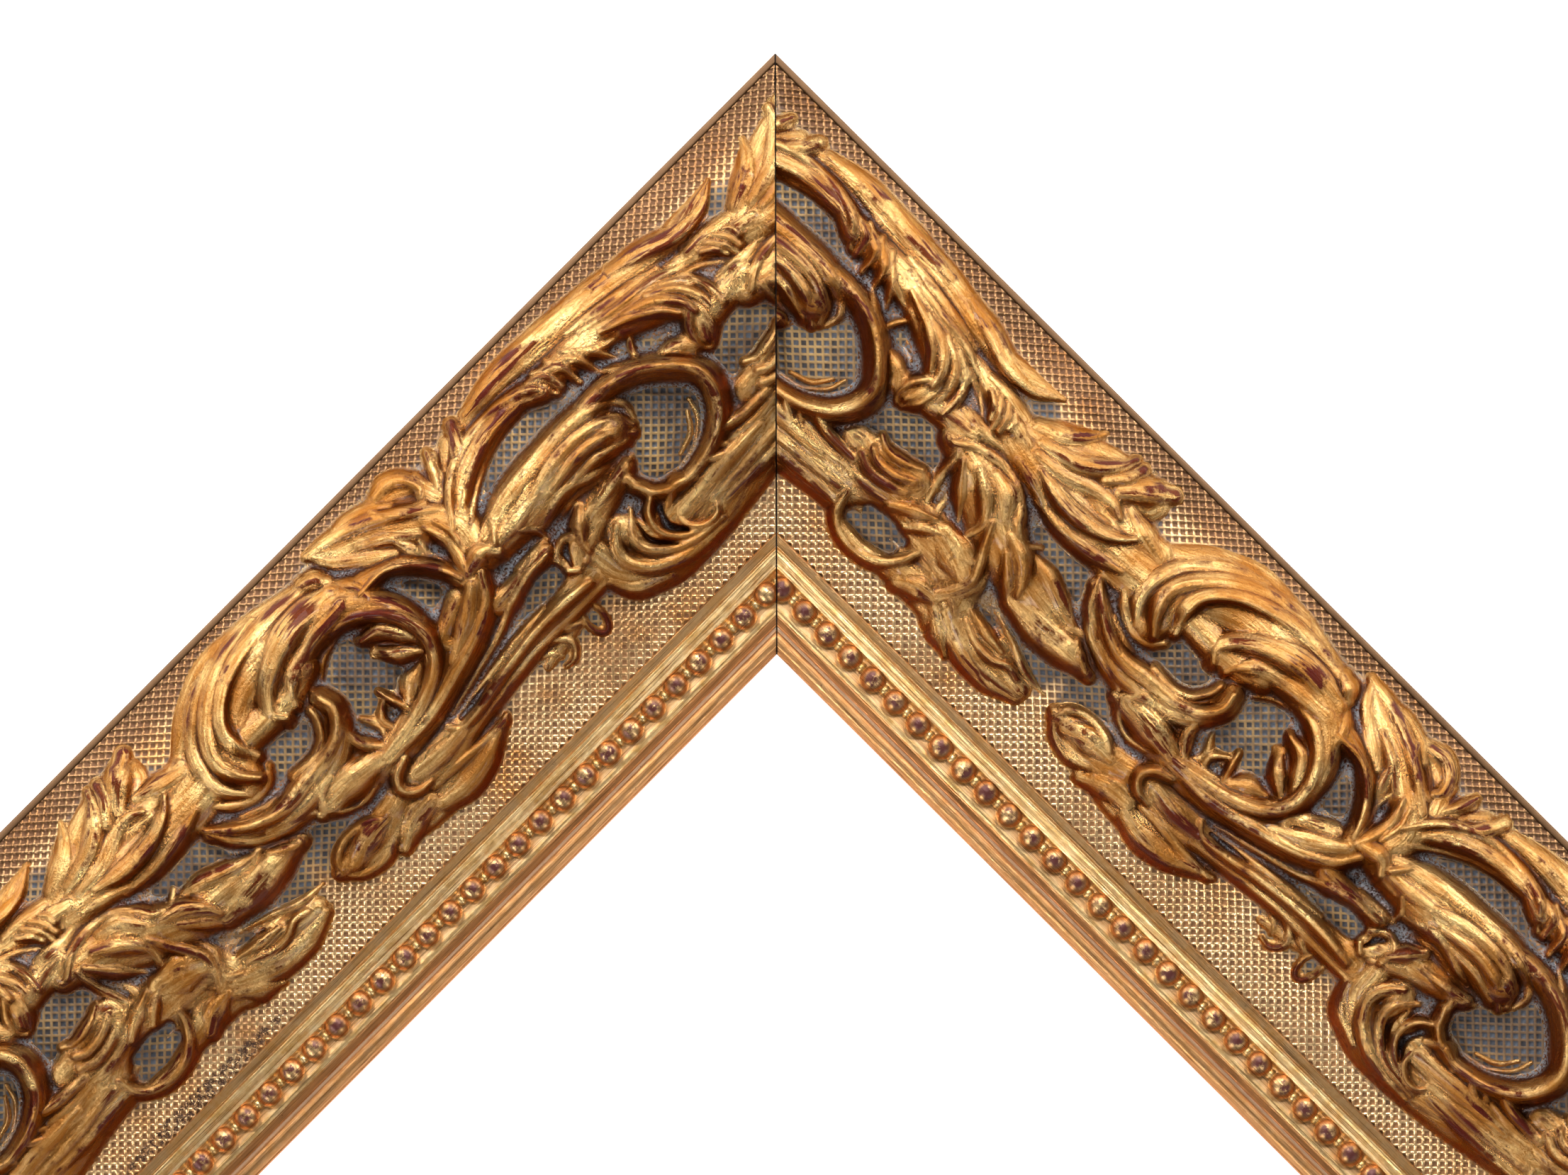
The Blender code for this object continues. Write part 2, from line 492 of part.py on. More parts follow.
def make_length(name, start, phase, one_bead, turn, carving, material, parts, cutters):
    """One mitred length, cut to its mitre and square end, with its beads and its rabbet."""
    rail = relief_solid(name, start, phase, carving, parts)
    beads = bead_course(name + "_beads", start, one_bead, cutters)
    blank = mitred_blank(name + "_blank", start, cutters)
    reach = (start - OVERSIZE, start + RAIL_LENGTH + OVERSIZE)
    rabbet = box(name + "_rabbet", (reach[0], RAIL_WIDTH - RABBET_WIDTH, -OVERSIZE),
                 (reach[1], RAIL_WIDTH + OVERSIZE, RABBET_DEPTH), cutters)
    corner = (-RAIL_LENGTH / 2 * MM, RAIL_LENGTH / 2 * MM, 0)
    for obj in (rail, beads, blank, rabbet):
        obj.location = corner
        obj.rotation_euler = (0, 0, turn)
    for cutter in (beads, blank, rabbet):
        cutter.hide_render = True
        cutter.display_type = "WIRE"
    boolean(rail, "UNION", beads)
    boolean(rail, "INTERSECT", blank)
    boolean(rail, "DIFFERENCE", rabbet)
    rail.data.materials.append(material)


def main():
    for obj in list(bpy.data.objects):
        bpy.data.objects.remove(obj)
    parts = bpy.data.collections.new("picture_frame_moulding")
    cutters = bpy.data.collections.new("cutters")
    for collection in (parts, cutters):
        bpy.context.scene.collection.children.link(collection)
    carving = carve_repeat()
    material = gilded_material()
    make_length("left_length", -RAIL_LENGTH, LEFT_PHASE, LEFT_BEAD, math.pi / 2, carving, material,
                parts, cutters)
    make_length("right_length", 0, RIGHT_PHASE, RIGHT_BEAD, 0, carving, material, parts, cutters)


main()
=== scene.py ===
import math

import bmesh
import bpy
import numpy as np
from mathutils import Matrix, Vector


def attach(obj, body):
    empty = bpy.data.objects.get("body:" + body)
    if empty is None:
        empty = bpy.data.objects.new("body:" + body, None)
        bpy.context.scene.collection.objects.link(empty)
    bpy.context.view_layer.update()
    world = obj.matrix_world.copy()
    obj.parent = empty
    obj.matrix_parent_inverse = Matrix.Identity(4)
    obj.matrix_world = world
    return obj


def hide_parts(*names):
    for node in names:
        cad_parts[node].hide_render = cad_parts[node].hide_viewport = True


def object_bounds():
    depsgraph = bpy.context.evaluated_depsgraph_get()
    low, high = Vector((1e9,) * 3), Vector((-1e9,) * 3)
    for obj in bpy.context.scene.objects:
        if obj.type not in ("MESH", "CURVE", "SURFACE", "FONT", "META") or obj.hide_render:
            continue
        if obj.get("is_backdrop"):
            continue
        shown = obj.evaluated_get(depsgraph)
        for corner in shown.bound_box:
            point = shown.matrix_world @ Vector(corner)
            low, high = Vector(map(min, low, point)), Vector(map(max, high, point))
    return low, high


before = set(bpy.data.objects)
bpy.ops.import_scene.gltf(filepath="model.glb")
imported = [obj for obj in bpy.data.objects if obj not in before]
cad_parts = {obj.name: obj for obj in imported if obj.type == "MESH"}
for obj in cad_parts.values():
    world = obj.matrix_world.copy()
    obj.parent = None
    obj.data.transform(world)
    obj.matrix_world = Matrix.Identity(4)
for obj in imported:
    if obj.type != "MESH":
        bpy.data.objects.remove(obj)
cad_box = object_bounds()

MM = 0.001

# Sizes of the moulding, in millimetres, as the solids have them
RAIL_WIDTH = 89.0
RAIL_LENGTH = 288.0
HALF_MITRE = 0.15 * math.sqrt(2)
RABBET_WIDTH = 7.0
RABBET_DEPTH = 10.0
REPEAT = 201.6
BEAD_PITCH = 6.72
BEAD_DIAMETER = 5.8
LINK_RADIUS = 1.25
BEAD_LINE = 78.5
BEAD_CENTRE_HEIGHT = 14.5
OUTER_EDGE_HEIGHT = 20.0
CUSHION_CREST = 30.2
CUSHION_CREST_AT = 29.0
CUSHION_FOOT = 16.4
CUSHION_END = 70.8
ORNAMENT_TOP = 39.2
FILLET_WIDTH = 1.6

# The pressed lattice: its pitch, its depth, and where a line and a pit start and end within a pitch
LATTICE_PITCH = 1.626
LATTICE_DEPTH = 0.42
LATTICE_LINES = (-0.09, 0.09, 0.25, 0.75)

# Steps of the carved field, of the skin laid over it and of the sweeps, and the most that a skin may have
CELL = 0.2
RELIEF_STEP = 0.26
SWEEP_STEP = 2.0
MOST_TRIANGLES = 190000

# How high the grime stands in the mitre under the face
GRIME_HEIGHT = 0.9

# Where the inner edge of the left lattice is crushed, in metres in the shared frame, and what brings
# the crushed strip (4 mm wide, 56 mm long) to a circle of radius 1
CRUSHED_AT = (-0.0751, -0.0945, 0.0)
CRUSHED_SHAPE = (520.0, 36.0, 0.0)

# The camera, straight above the corner: the photo is 2212 pixels wide, taken from 2 m
IMAGE_WIDTH = 2212
FOCAL_PIXELS = 13352.0
CAMERA_AT = (-0.06381, 0.066, 2.0)
CAMERA_TURN = math.radians(45) - 0.0026
MIDDLE = np.array([-0.0655, 0.0655])

# The two lengths: which way the pattern runs from the corner, where it starts, where a bead is
LENGTHS = {
    "left": {"way": -1, "phase": 51.9, "bead": 0.96},
    "right": {"way": 1, "phase": 130.6, "bead": 6.2},
}


def smooth_path(points, step=0.6):
    """A smooth curve through the points, and each of its points' distance along it."""
    p = np.array(points, float)
    ends = np.vstack([2 * p[0] - p[1], p, 2 * p[-1] - p[-2]])
    pieces = []
    for before, a, b, after in zip(ends, ends[1:], ends[2:], ends[3:]):
        t = np.linspace(0, 1, max(2, int(np.hypot(*(b - a)) / step)), endpoint=False)[:, None]
        bend = (2 * before - 5 * a + 4 * b - after) * t**2 + (3 * a - before - 3 * b + after) * t**3
        pieces.append(0.5 * (2 * a + (b - before) * t + bend))
    curve = np.vstack(pieces + [p[-1:]])
    return curve, np.concatenate([[0.0], np.cumsum(np.hypot(*np.diff(curve, axis=0).T))])


def spread(values, t):
    """Evenly spaced values, blended softly along t from 0 to 1."""
    values = np.atleast_1d(np.array(values, float))
    if len(values) == 1:
        return np.full(np.shape(t), values[0])
    x = np.clip(t, 0, 1) * (len(values) - 1)
    i = np.minimum(x.astype(int), len(values) - 2)
    f = x - i
    f = f * f * (3 - 2 * f) * 0.6 + f * 0.4
    return values[i] * (1 - f) + values[i + 1] * f


def blur(field, sigma):
    """A Gaussian blur, carried round the repeat."""
    r = int(3 * sigma / CELL) + 1
    kernel = np.exp(-0.5 * (np.arange(-r, r + 1) * CELL / sigma) ** 2)
    kernel /= kernel.sum()
    wide = np.pad(field, ((0, 0), (r, r)), mode="wrap")
    wide = sum(k * wide[:, i:i + field.shape[1]] for i, k in enumerate(kernel))
    tall = np.pad(wide, ((r, r), (0, 0)), mode="edge")
    return sum(k * tall[i:i + field.shape[0]] for i, k in enumerate(kernel))


def swell(field, reach, pick):
    """The highest (or lowest) value within reach of each cell, carried round the repeat."""
    for step in range(round(reach / CELL)):
        sides = [(0, 1), (0, -1), (1, 0), (-1, 0)] + [(1, 1), (1, -1), (-1, 1), (-1, -1)] * (step % 2)
        field = pick.reduce([field] + [np.roll(field, side, (0, 1)) for side in sides])
    return field


def merge(one, other, soft):
    """The higher of two surfaces, run into each other where they are within soft of the same height."""
    near = np.maximum(soft - np.abs(one - other), 0) / soft
    return np.maximum(one, other) + near * near * soft / 4


class Carving:
    """One repeat of the ornament: its heights over the cushion, and how its tool marks run."""

    def __init__(self):
        shape = (round(73.0 / CELL), round(REPEAT / CELL))
        self.height = np.full(shape, -5.0)
        self.along = np.zeros(shape)
        self.across = np.zeros(shape)
        self.tint = np.zeros(shape)
        self.deep = np.zeros(shape)
        self.count = 0
        self.soft = 1.8
        self.keen = 0.1

    def near(self, path, reach):
        """For the cells near the path: window, distance along it, total length, signed distance."""
        curve, run = smooth_path(path)
        rows, columns = self.height.shape
        for turn in (-REPEAT, 0.0, REPEAT):
            line = curve + (turn, 0.0)
            first = np.maximum((line.min(0) - reach) / CELL, 0).astype(int)
            last = np.minimum((line.max(0) + reach) / CELL + 2, (columns, rows)).astype(int)
            if np.any(first >= last):
                continue
            u = np.arange(first[0], last[0])[None, :] * CELL
            v = np.arange(first[1], last[1])[:, None] * CELL
            nearest = np.full((last[1] - first[1], last[0] - first[0]), np.inf)
            place = np.zeros_like(nearest)
            side = np.ones_like(nearest)
            for a, b, run_a, run_b in zip(line, line[1:], run, run[1:]):
                step = b - a
                share = np.clip(((u - a[0]) * step[0] + (v - a[1]) * step[1]) / (step @ step), 0, 1)
                dx = u - a[0] - share * step[0]
                dy = v - a[1] - share * step[1]
                away = dx * dx + dy * dy
                closer = away < nearest
                nearest = np.where(closer, away, nearest)
                place = np.where(closer, run_a + (run_b - run_a) * share, place)
                side = np.where(closer, np.where(step[0] * dy < step[1] * dx, -1.0, 1.0), side)
            window = (slice(first[1], last[1]), slice(first[0], last[0]))
            yield window, place, run[-1], np.sqrt(nearest) * side

    def stroke(self, path, half, rise, lift=0.0, skew=0.0, wall=2.2):
        """A rounded lobe along the path; half is its half width, lift the height it starts from."""
        self.count += 1
        tint = (self.count * 0.618034) % 1.0
        for window, place, length, off in self.near(path, np.max(half) + 4):
            t = place / length
            width = np.maximum(spread(half, t), 0.05)
            x = off / width
            lean = np.where(x > skew, (x - skew) / (1 - skew), (x - skew) / (1 + skew))
            lean = np.abs(np.clip(lean, -1, 1))
            crown = (1 - self.keen) * (1 - lean**2) ** 0.6 + self.keen * (1 - lean) * (1 + 0.6 * lean)
            edge = wall * width * np.maximum(np.abs(x) - 1, 0)
            z = spread(lift, t) + np.where(np.abs(x) > 1, -edge, spread(rise, t) * crown)
            old = self.height[window]
            for field, value in ((self.along, place), (self.across, off), (self.tint, np.full_like(z, tint))):
                field[window] = np.where(z > old, value, field[window])
            self.height[window] = merge(old, z, self.soft)

    def settle(self):
        """Keep what is laid so far as the bed that the leaves rise from."""
        self.bed = blur(np.maximum(self.height, -0.5), 0.7)
        self.soft = 0.6
        self.keen = 0.4

    def leaf(self, path, half, rise, lift=0.0, **shape):
        """A lobe that rises from the bed under it."""
        curve, _ = smooth_path(path)
        column = np.round(curve[:, 0] / CELL).astype(int) % self.height.shape[1]
        row = np.clip(np.round(curve[:, 1] / CELL).astype(int), 0, self.height.shape[0] - 1)
        bed = np.convolve(np.pad(self.bed[row, column], 4, mode="edge"), np.ones(9) / 9, "valid")
        share = np.linspace(0, 1, max(3, len(bed) // 8))
        bed = np.interp(share, np.linspace(0, 1, len(bed)), bed)
        self.stroke(path, half, np.multiply(rise, 1.25), spread(lift, share) + bed, **shape)

    def cut(self, path, half, depth):
        """A hollow along the path."""
        for window, place, length, off in self.near(path, np.max(half) + 1):
            x = off / np.maximum(spread(half, place / length), 0.05)
            hollow = spread(depth, place / length) * np.clip(1 - x * x, 0, 1) ** 1.5
            self.deep[window] = np.maximum(self.deep[window], hollow)


def outer_swath_masses(c):
    """The long leaf along the outer side, and the shoulder under it."""
    c.stroke([(150.5, 9.5), (158, 7.5), (172, 7.8), (188, 8.6), (201.6, 10.6), (212, 12), (224.5, 9)],
             [1.2, 2.8, 3.4, 3.6, 3.4, 3, 0.5], [1.2, 3, 3.4, 3.4, 3, 2.6, 0.8])
    c.stroke([(166, 13.5), (176, 14.5), (188, 15), (198, 17), (206, 21)],
             [2, 4, 4.5, 4.5, 3], [3.5, 4.5, 4.8, 4.8, 4.2])


def frond_masses(c):
    """The frond of fingers between two scrolls."""
    c.stroke([(2, 15.5), (12, 18.5), (24, 22.5), (40, 24.5), (56, 24.5), (66, 23)],
             [1.2, 3.5, 5, 5.5, 6, 6], [2, 3, 3.8, 4, 3.8, 3.6])
    c.stroke([(22, 19), (32, 16), (41, 13), (50, 11.5)], [3, 5, 5.2, 5], [2.8, 3, 2.8, 2.4])
    c.stroke([(44, 18), (52, 19), (60, 18)], [4, 4, 3], [3, 3, 2.6])


def great_scroll_masses(c):
    """The great scroll: its skirt, its crescent, and the cup that its tip curls into."""
    c.stroke([(61, 17), (68, 13), (78, 9), (90, 8.2), (100, 9.5), (108, 11)],
             [2.5, 4.5, 5, 4, 3.4, 3], [1.6, 2.4, 2.6, 2.8, 3.4, 3.8])
    c.stroke([(69, 30), (70, 22), (77, 15.5), (87, 13.5), (98, 14.5), (108, 17.5), (114, 23.5), (116.5, 31),
              (114, 38.5), (105, 43.5), (92, 46)],
             [4, 5.5, 6, 7, 6.5, 5, 3.4, 2.6, 2.6, 2.8, 3], [4, 5, 5.5, 6, 6.6, 6.8, 6.6, 6, 5.5, 4.6, 4.4])
    c.stroke([(73, 23), (84, 23), (93, 21)], [4, 4.2, 4], [4.8, 5, 5.6])
    c.stroke([(55, 32), (62, 37), (72, 40.5), (84, 39.5), (90.5, 35), (91, 28)],
             [2, 3.6, 4.2, 4, 2.6, 2.2], [3, 4.4, 4.8, 4.8, 5, 5])


def lower_masses(c):
    """The body of leaves and petals along the inner side."""
    c.stroke([(12, 31.5), (22, 33.5), (32, 38), (41, 42), (52, 44), (60, 45.5), (67.5, 46.5)],
             [3, 5.5, 7, 5.4, 5, 4.6, 1.6], [4, 5, 5.2, 4.8, 4.4, 4, 2.6])
    c.stroke([(1, 54), (10, 49.5), (22, 49), (33, 50), (36, 55)], [5, 4, 6, 6, 5], [3.4, 4, 4.4, 4.4, 4])
    c.stroke([(-22, 54), (-10, 55), (2, 55)], [6, 6.5, 5.5], [4, 4, 3.6])
    c.stroke([(8, 60.5), (18, 60), (28, 58), (38, 58), (50, 58), (59, 58.5)],
             [2, 2.6, 4.5, 5, 5.6, 2.6], [2.4, 2.8, 3.2, 3.2, 3.2, 2.4])
    c.stroke([(36, 61), (43, 64)], [3, 0.8], [2.2, 1.2])
    c.stroke([(-2, 46), (6, 45.5), (13, 44)], [4, 4.5, 4.5], [3.4, 3.8, 4])


def stem_masses(c):
    """The double stem that leaves the scroll, and the buds and husks under it."""
    c.stroke([(74, 45.5), (84, 45.5), (96, 47.2), (110, 45.5), (122, 41), (131, 34)],
             [1.6, 4.6, 3.6, 3.4, 4.2, 3.6], [3.5, 4.8, 4.8, 5, 5.4, 6])
    c.stroke([(90, 53.5), (100, 54.5), (112, 53.3), (125, 51), (138, 50.5), (149, 50)],
             [4.2, 4.6, 2.8, 3.4, 3, 4], [3.6, 3.8, 3.6, 3.6, 3.4, 3.6])
    c.stroke([(131, 40.5), (138, 40), (146, 39.5)], [3, 2.2, 2], [5, 4.6, 4.4])
    c.stroke([(67.5, 56.5), (75, 57), (84, 56), (92, 54)], [1.5, 5, 4.5, 4], [2.8, 3.4, 3.6, 3.6])
    c.stroke([(80.5, 62), (87, 61), (98, 61), (108, 60.5), (115.5, 58)],
             [1.2, 3.4, 3.8, 3, 1], [2, 2.6, 2.8, 2.6, 2])
    c.stroke([(129, 57), (134, 56), (140, 55)], [1, 1.5, 1], [1, 1, 1])


def spear_masses(c):
    """The spear leaf that splits the two scrolls, with its lobes."""
    c.stroke([(109.5, 5.2), (115, 8), (124, 12), (132, 17), (137, 23), (136, 30)],
             [0.9, 4, 6.5, 6, 4.6, 4], [2, 3.4, 4.2, 4.8, 5.4, 6])
    c.stroke([(126, 7.6), (132, 8), (136, 11), (138, 16)], [2.4, 3.2, 2.6, 3], [2.6, 2.8, 2.8, 4])
    c.stroke([(139.5, 16), (142.8, 9)], [3, 1.6], [3.4, 2.2])
    c.stroke([(142, 17), (150, 8.5)], [3, 2.2], [3.4, 2.4])
    c.stroke([(113, 17), (122, 19.5), (127, 25), (130, 33)], [2.6, 2, 1.6, 2.6], [5.4, 4.4, 4.6, 5.6])
    c.stroke([(122, 42), (118, 38), (126, 34)], [4, 2.5, 3], [5, 5, 5])
    c.stroke([(136, 24.5), (143, 17.6), (152, 14), (162, 13.2), (169, 15.6)],
             [2.4, 3, 2.2, 2, 2.8], [4.6, 4.4, 4.2, 4.2, 4.6])


def lesser_scroll_masses(c):
    """The great leaf, the volute that it rolls into, and the scroll under it."""
    c.stroke([(132, 31), (142, 31), (154, 30.4), (165, 30.4), (173, 31.6)],
             [4, 5, 6.4, 6.6, 4.6], [5.6, 6.2, 7, 7.2, 6.4])
    c.stroke([(166, 25.4), (175, 24.4), (183, 25.8), (189, 29.6), (193.4, 34), (194.4, 39), (192, 44),
              (187, 47.8), (180, 49.6), (174, 49.2), (169.6, 46), (168.6, 41.4)],
             [1.4, 2.6, 2.8, 2.6, 2.2, 2.2, 2.2, 2, 1.6, 1.6, 1.6, 1.6],
             [5.4, 6, 6.2, 6, 6.2, 6.4, 6.2, 5.6, 5, 4.6, 4.6, 4.6])
    c.stroke([(148, 46), (156, 42), (164, 40.5), (170, 39.5)], [3, 4.2, 3.6, 2], [4, 4.6, 4.6, 4.4])
    c.stroke([(153, 47), (155, 55), (165, 60), (178, 58.5), (190, 56), (200, 54)],
             [3.5, 5.5, 4.6, 5.6, 6.4, 6.4], [4.4, 4.4, 3.8, 4, 4, 3.8])
    c.stroke([(160, 48), (164, 53), (172, 54)], [4, 4, 4], [4, 3.8, 3.6])
    c.stroke([(190, 18), (199, 21), (203, 26), (201, 32.5)], [3, 4, 4, 1.2], [4.8, 5, 5, 4.2])
    c.stroke([(189, 29), (197, 30.5), (205, 29), (216, 28)], [2, 3.6, 3.4, 3.6], [3.4, 3.6, 3.8, 4.2])
    c.stroke([(190, 48.5), (200, 49), (207, 49)], [1.6, 2, 2], [3.6, 3.6, 3.8])


def frond_leaves(c):
    """Fingers, blade and ridges of the frond."""
    c.leaf([(23, 17), (28.5, 14.5), (32.5, 11), (34.2, 7.8)], [1.2, 2.2, 1.8, 0.8], [0.8, 1.3, 1.4, 0.8])
    c.leaf([(26, 18.7), (33, 17.2), (38, 14.2), (41.3, 10.5), (42.6, 7.2)],
           [1, 1.9, 2.2, 1.8, 0.9], [0.8, 1.4, 1.7, 1.7, 1.2])
    c.leaf([(41, 15), (44, 11.5), (45.2, 8)], [1.2, 1.6, 1.3], [1.2, 1.5, 1.4])
    c.leaf([(45, 14.2), (49, 10.5), (53.4, 7)], [1.8, 3, 2], [1.2, 1.8, 1.4], skew=0.2)
    c.leaf([(27, 21.2), (34, 20.6), (40, 18.3), (45, 17.3), (48.6, 18.6)],
           [1, 1.9, 1.9, 1.7, 0.8], [0.8, 1.4, 1.4, 1.3, 1.1])
    c.leaf([(30, 23), (38, 24.6), (46, 24), (51, 22), (54, 19.4)],
           [0.8, 1.9, 2, 1.6, 0.6], [0.8, 1.5, 1.7, 1.7, 1.3], skew=0.3)
    c.leaf([(34, 28), (42, 28.6), (50, 27.8), (56.5, 26.2)], [0.8, 1.6, 1.6, 0.8], [0.6, 1.5, 1.4, 0.6])
    c.leaf([(49, 15.6), (55, 17.3), (60.5, 18.6)], [0.9, 1.9, 0.8], [0.8, 1.3, 0.5])
    c.leaf([(25, 24.8), (30, 25.8), (35, 27.4)], [0.8, 1.2, 0.8], [0.6, 0.9, 0.5])


def paw(c):
    """The little paw at the root of the frond."""
    c.leaf([(9, 16.6), (14, 16.8), (20, 18)], [0.8, 1.6, 1.4], [0.8, 1.4, 0.8])
    fingers = ((11, 18.6, 14.8, 22.8), (13.2, 18, 16.5, 24), (15.6, 18, 18, 23.6), (18, 18.6, 19.3, 21.8))
    for a, b, d, e in fingers:
        c.leaf([(a, b), ((a + d) / 2 + 0.5, (b + e) / 2 - 0.4), (d, e)], [0.6, 1, 0.8], [1, 1.7, 1.3])
    c.leaf([(8, 24.6), (11, 25.2), (16, 26), (22, 25.6)], [0.8, 1.6, 1.6, 1], [0.9, 1.3, 1, 0.5])
    c.leaf([(20, 20.4), (24, 21.5)], [1.6, 1.2], [0.9, 0.5])


def inner_ridge(c):
    """The ridge that curves through the inner leaves, and the spears that spring from it."""
    c.leaf([(13, 31.8), (17, 29.2), (23, 28), (29, 29.2), (33, 32.5), (35, 35.3), (38.5, 36.4),
            (41.3, 34.4)],
           [0.9, 1.3, 1.4, 1.5, 1.4, 1.4, 1.3, 0.7], [1, 1.8, 1.9, 1.9, 1.9, 1.8, 1.6, 1])
    c.leaf([(24, 30.5), (28.5, 32), (31.5, 35.6)], [1.2, 2.6, 1.2], [0.6, 1.2, 0.6])
    c.leaf([(15.2, 32.4), (15.8, 38), (17.6, 44.2)], [0.8, 1.4, 0.7], [1.2, 1.7, 1])
    c.leaf([(17, 33), (21, 37.8), (25.2, 42.6)], [0.8, 1.7, 0.7], [1.2, 1.9, 1])
    c.leaf([(20.5, 32), (26, 35.6), (29.2, 39.6), (28.6, 43)], [0.9, 1.7, 1.5, 0.7], [0.8, 1.4, 1.3, 0.8])
    c.leaf([(18, 38.6), (20, 41.4), (20.6, 44.6)], [0.7, 1.3, 0.7], [0.6, 1.1, 0.7])
    c.leaf([(30.4, 38), (32.6, 42.4), (35, 46.6), (36, 49.4), (35, 53), (33, 56)],
           [0.7, 1.2, 1.3, 1.3, 1.3, 0.8], [0.9, 1.6, 1.8, 1.8, 1.6, 0.8])
    c.leaf([(35, 37.4), (40, 39.2), (43.6, 42.6), (44.8, 45)], [1, 2, 1.8, 0.7], [0.8, 1.6, 1.6, 1])
    c.leaf([(37, 40.6), (41.4, 44.6), (45.5, 48.7)], [0.8, 1.5, 0.7], [0.8, 1.5, 1])
    c.leaf([(41, 36.8), (46.5, 38.2), (53, 40.6), (57.5, 41.4)], [1, 2.4, 2.4, 0.9], [0.8, 1.7, 1.7, 1])
    c.leaf([(45, 46), (54, 46.4), (61, 46), (67, 46.2)], [2, 3.2, 2.8, 0.9], [0.6, 1.5, 1.8, 0.8])
    c.leaf([(60.5, 43.2), (63, 45), (66, 46.4)], [0.8, 1.4, 0.9], [1.2, 1.9, 1.2])
    c.leaf([(57, 42.6), (59, 41.3), (62, 42)], [0.6, 1, 0.7], [0.8, 1.2, 0.7])
    c.leaf([(25, 47), (30, 48.2), (34, 50)], [2.4, 3.8, 2], [0.6, 1.2, 0.8])
    c.leaf([(29.6, 48.8), (33, 46.8)], [0.6, 0.8], [0.9, 0.9], lift=0.4)
    c.leaf([(33, 57.8), (35.6, 54), (37.6, 50), (37, 46)], [0.6, 0.9, 1, 0.7], [0.6, 0.8, 0.9, 0.6])


def claws(c):
    """Three claws that grip the stem."""
    c.leaf([(12.4, 40.4), (9, 42), (4.4, 42.6), (1.4, 41.2)], [0.7, 1.1, 1.1, 0.9], [0.8, 1.7, 1.7, 1.3])
    c.leaf([(13, 43.4), (9, 45.2), (4.6, 45.7), (2, 44.4)], [0.7, 1.1, 1.1, 0.8], [0.8, 1.6, 1.6, 1])
    c.leaf([(13.4, 46.2), (9, 47.8), (4.6, 48.4), (0.8, 47)], [0.7, 1.1, 1.2, 0.9], [0.8, 1.7, 1.7, 1.2])
    c.leaf([(12.6, 50.4), (16.6, 48), (22, 45.4)], [1.1, 1.5, 0.5], [1.2, 1.7, 0.9])
    c.leaf([(18, 51.6), (21, 49), (24.6, 46.8)], [0.9, 1.3, 0.5], [1, 1.6, 0.8])
    c.leaf([(0, 50.6), (5, 51), (11, 50)], [0.8, 1.1, 0.8], [0.5, 0.9, 0.5])


def hollow_eye(c):
    """The curl round a hollow eye."""
    c.cut([(9, 57.6), (14, 57.4), (19, 56.6)], [2, 3, 2.2], [2, 3, 2])
    c.cut([(10.4, 54), (15, 53.6), (20, 53.8)], [1.6, 2.2, 1.4], [3, 5, 3])
    c.leaf([(4.4, 54.6), (5.4, 58.8), (9, 61.4), (14, 62), (19, 60.4), (22.4, 56.8), (24, 53)],
           [0.9, 1.3, 1.5, 1.5, 1.5, 1.3, 0.8], [1.2, 1.5, 1.4, 1.4, 1.5, 1.7, 1.2])
    c.leaf([(8, 58), (12, 56.6), (17, 56.4)], [0.6, 0.9, 0.6], [0.2, 0.6, 0.2])


def petals(c):
    """Petals that hang over the inner side."""
    c.leaf([(25, 60.6), (29, 58.4), (33.6, 57.8)], [1.4, 2.6, 0.9], [0.8, 1.4, 0.8])
    c.leaf([(34.6, 59), (38.4, 61.4), (43.2, 64.6)], [1, 2.4, 0.6], [0.6, 1.4, 0.8])
    c.leaf([(37, 57.6), (45, 60.6), (53, 61.4), (59.6, 60.2)], [1.4, 2.8, 2.6, 1.3], [0.6, 1.2, 1.3, 0.8])
    c.leaf([(41, 56.2), (46, 58.1), (50.6, 58.1), (54, 56.7), (57.4, 57.4)],
           [0.6, 0.9, 1, 0.9, 0.7], [0.6, 1.3, 1.4, 1.4, 0.9])
    c.leaf([(40.6, 54), (45.6, 55), (51, 55.6)], [0.7, 1.3, 0.6], [0.9, 1.5, 0.9])
    c.leaf([(44.6, 50.4), (51, 52.4), (57, 55), (63.6, 55.6)], [0.6, 1.2, 1.2, 0.5], [0.9, 1.6, 1.6, 0.6])
    c.cut([(40.6, 52), (45, 52.6), (48.4, 53.6)], [0.4, 0.8, 0.4], [0.8, 1.4, 0.8])
    c.cut([(46, 50.2), (50.6, 51.2), (54, 52.6)], [0.4, 0.7, 0.4], [0.6, 1.2, 0.6])
    c.leaf([(36, 55.4), (38.6, 57)], [0.8, 0.8], [0.8, 0.6])


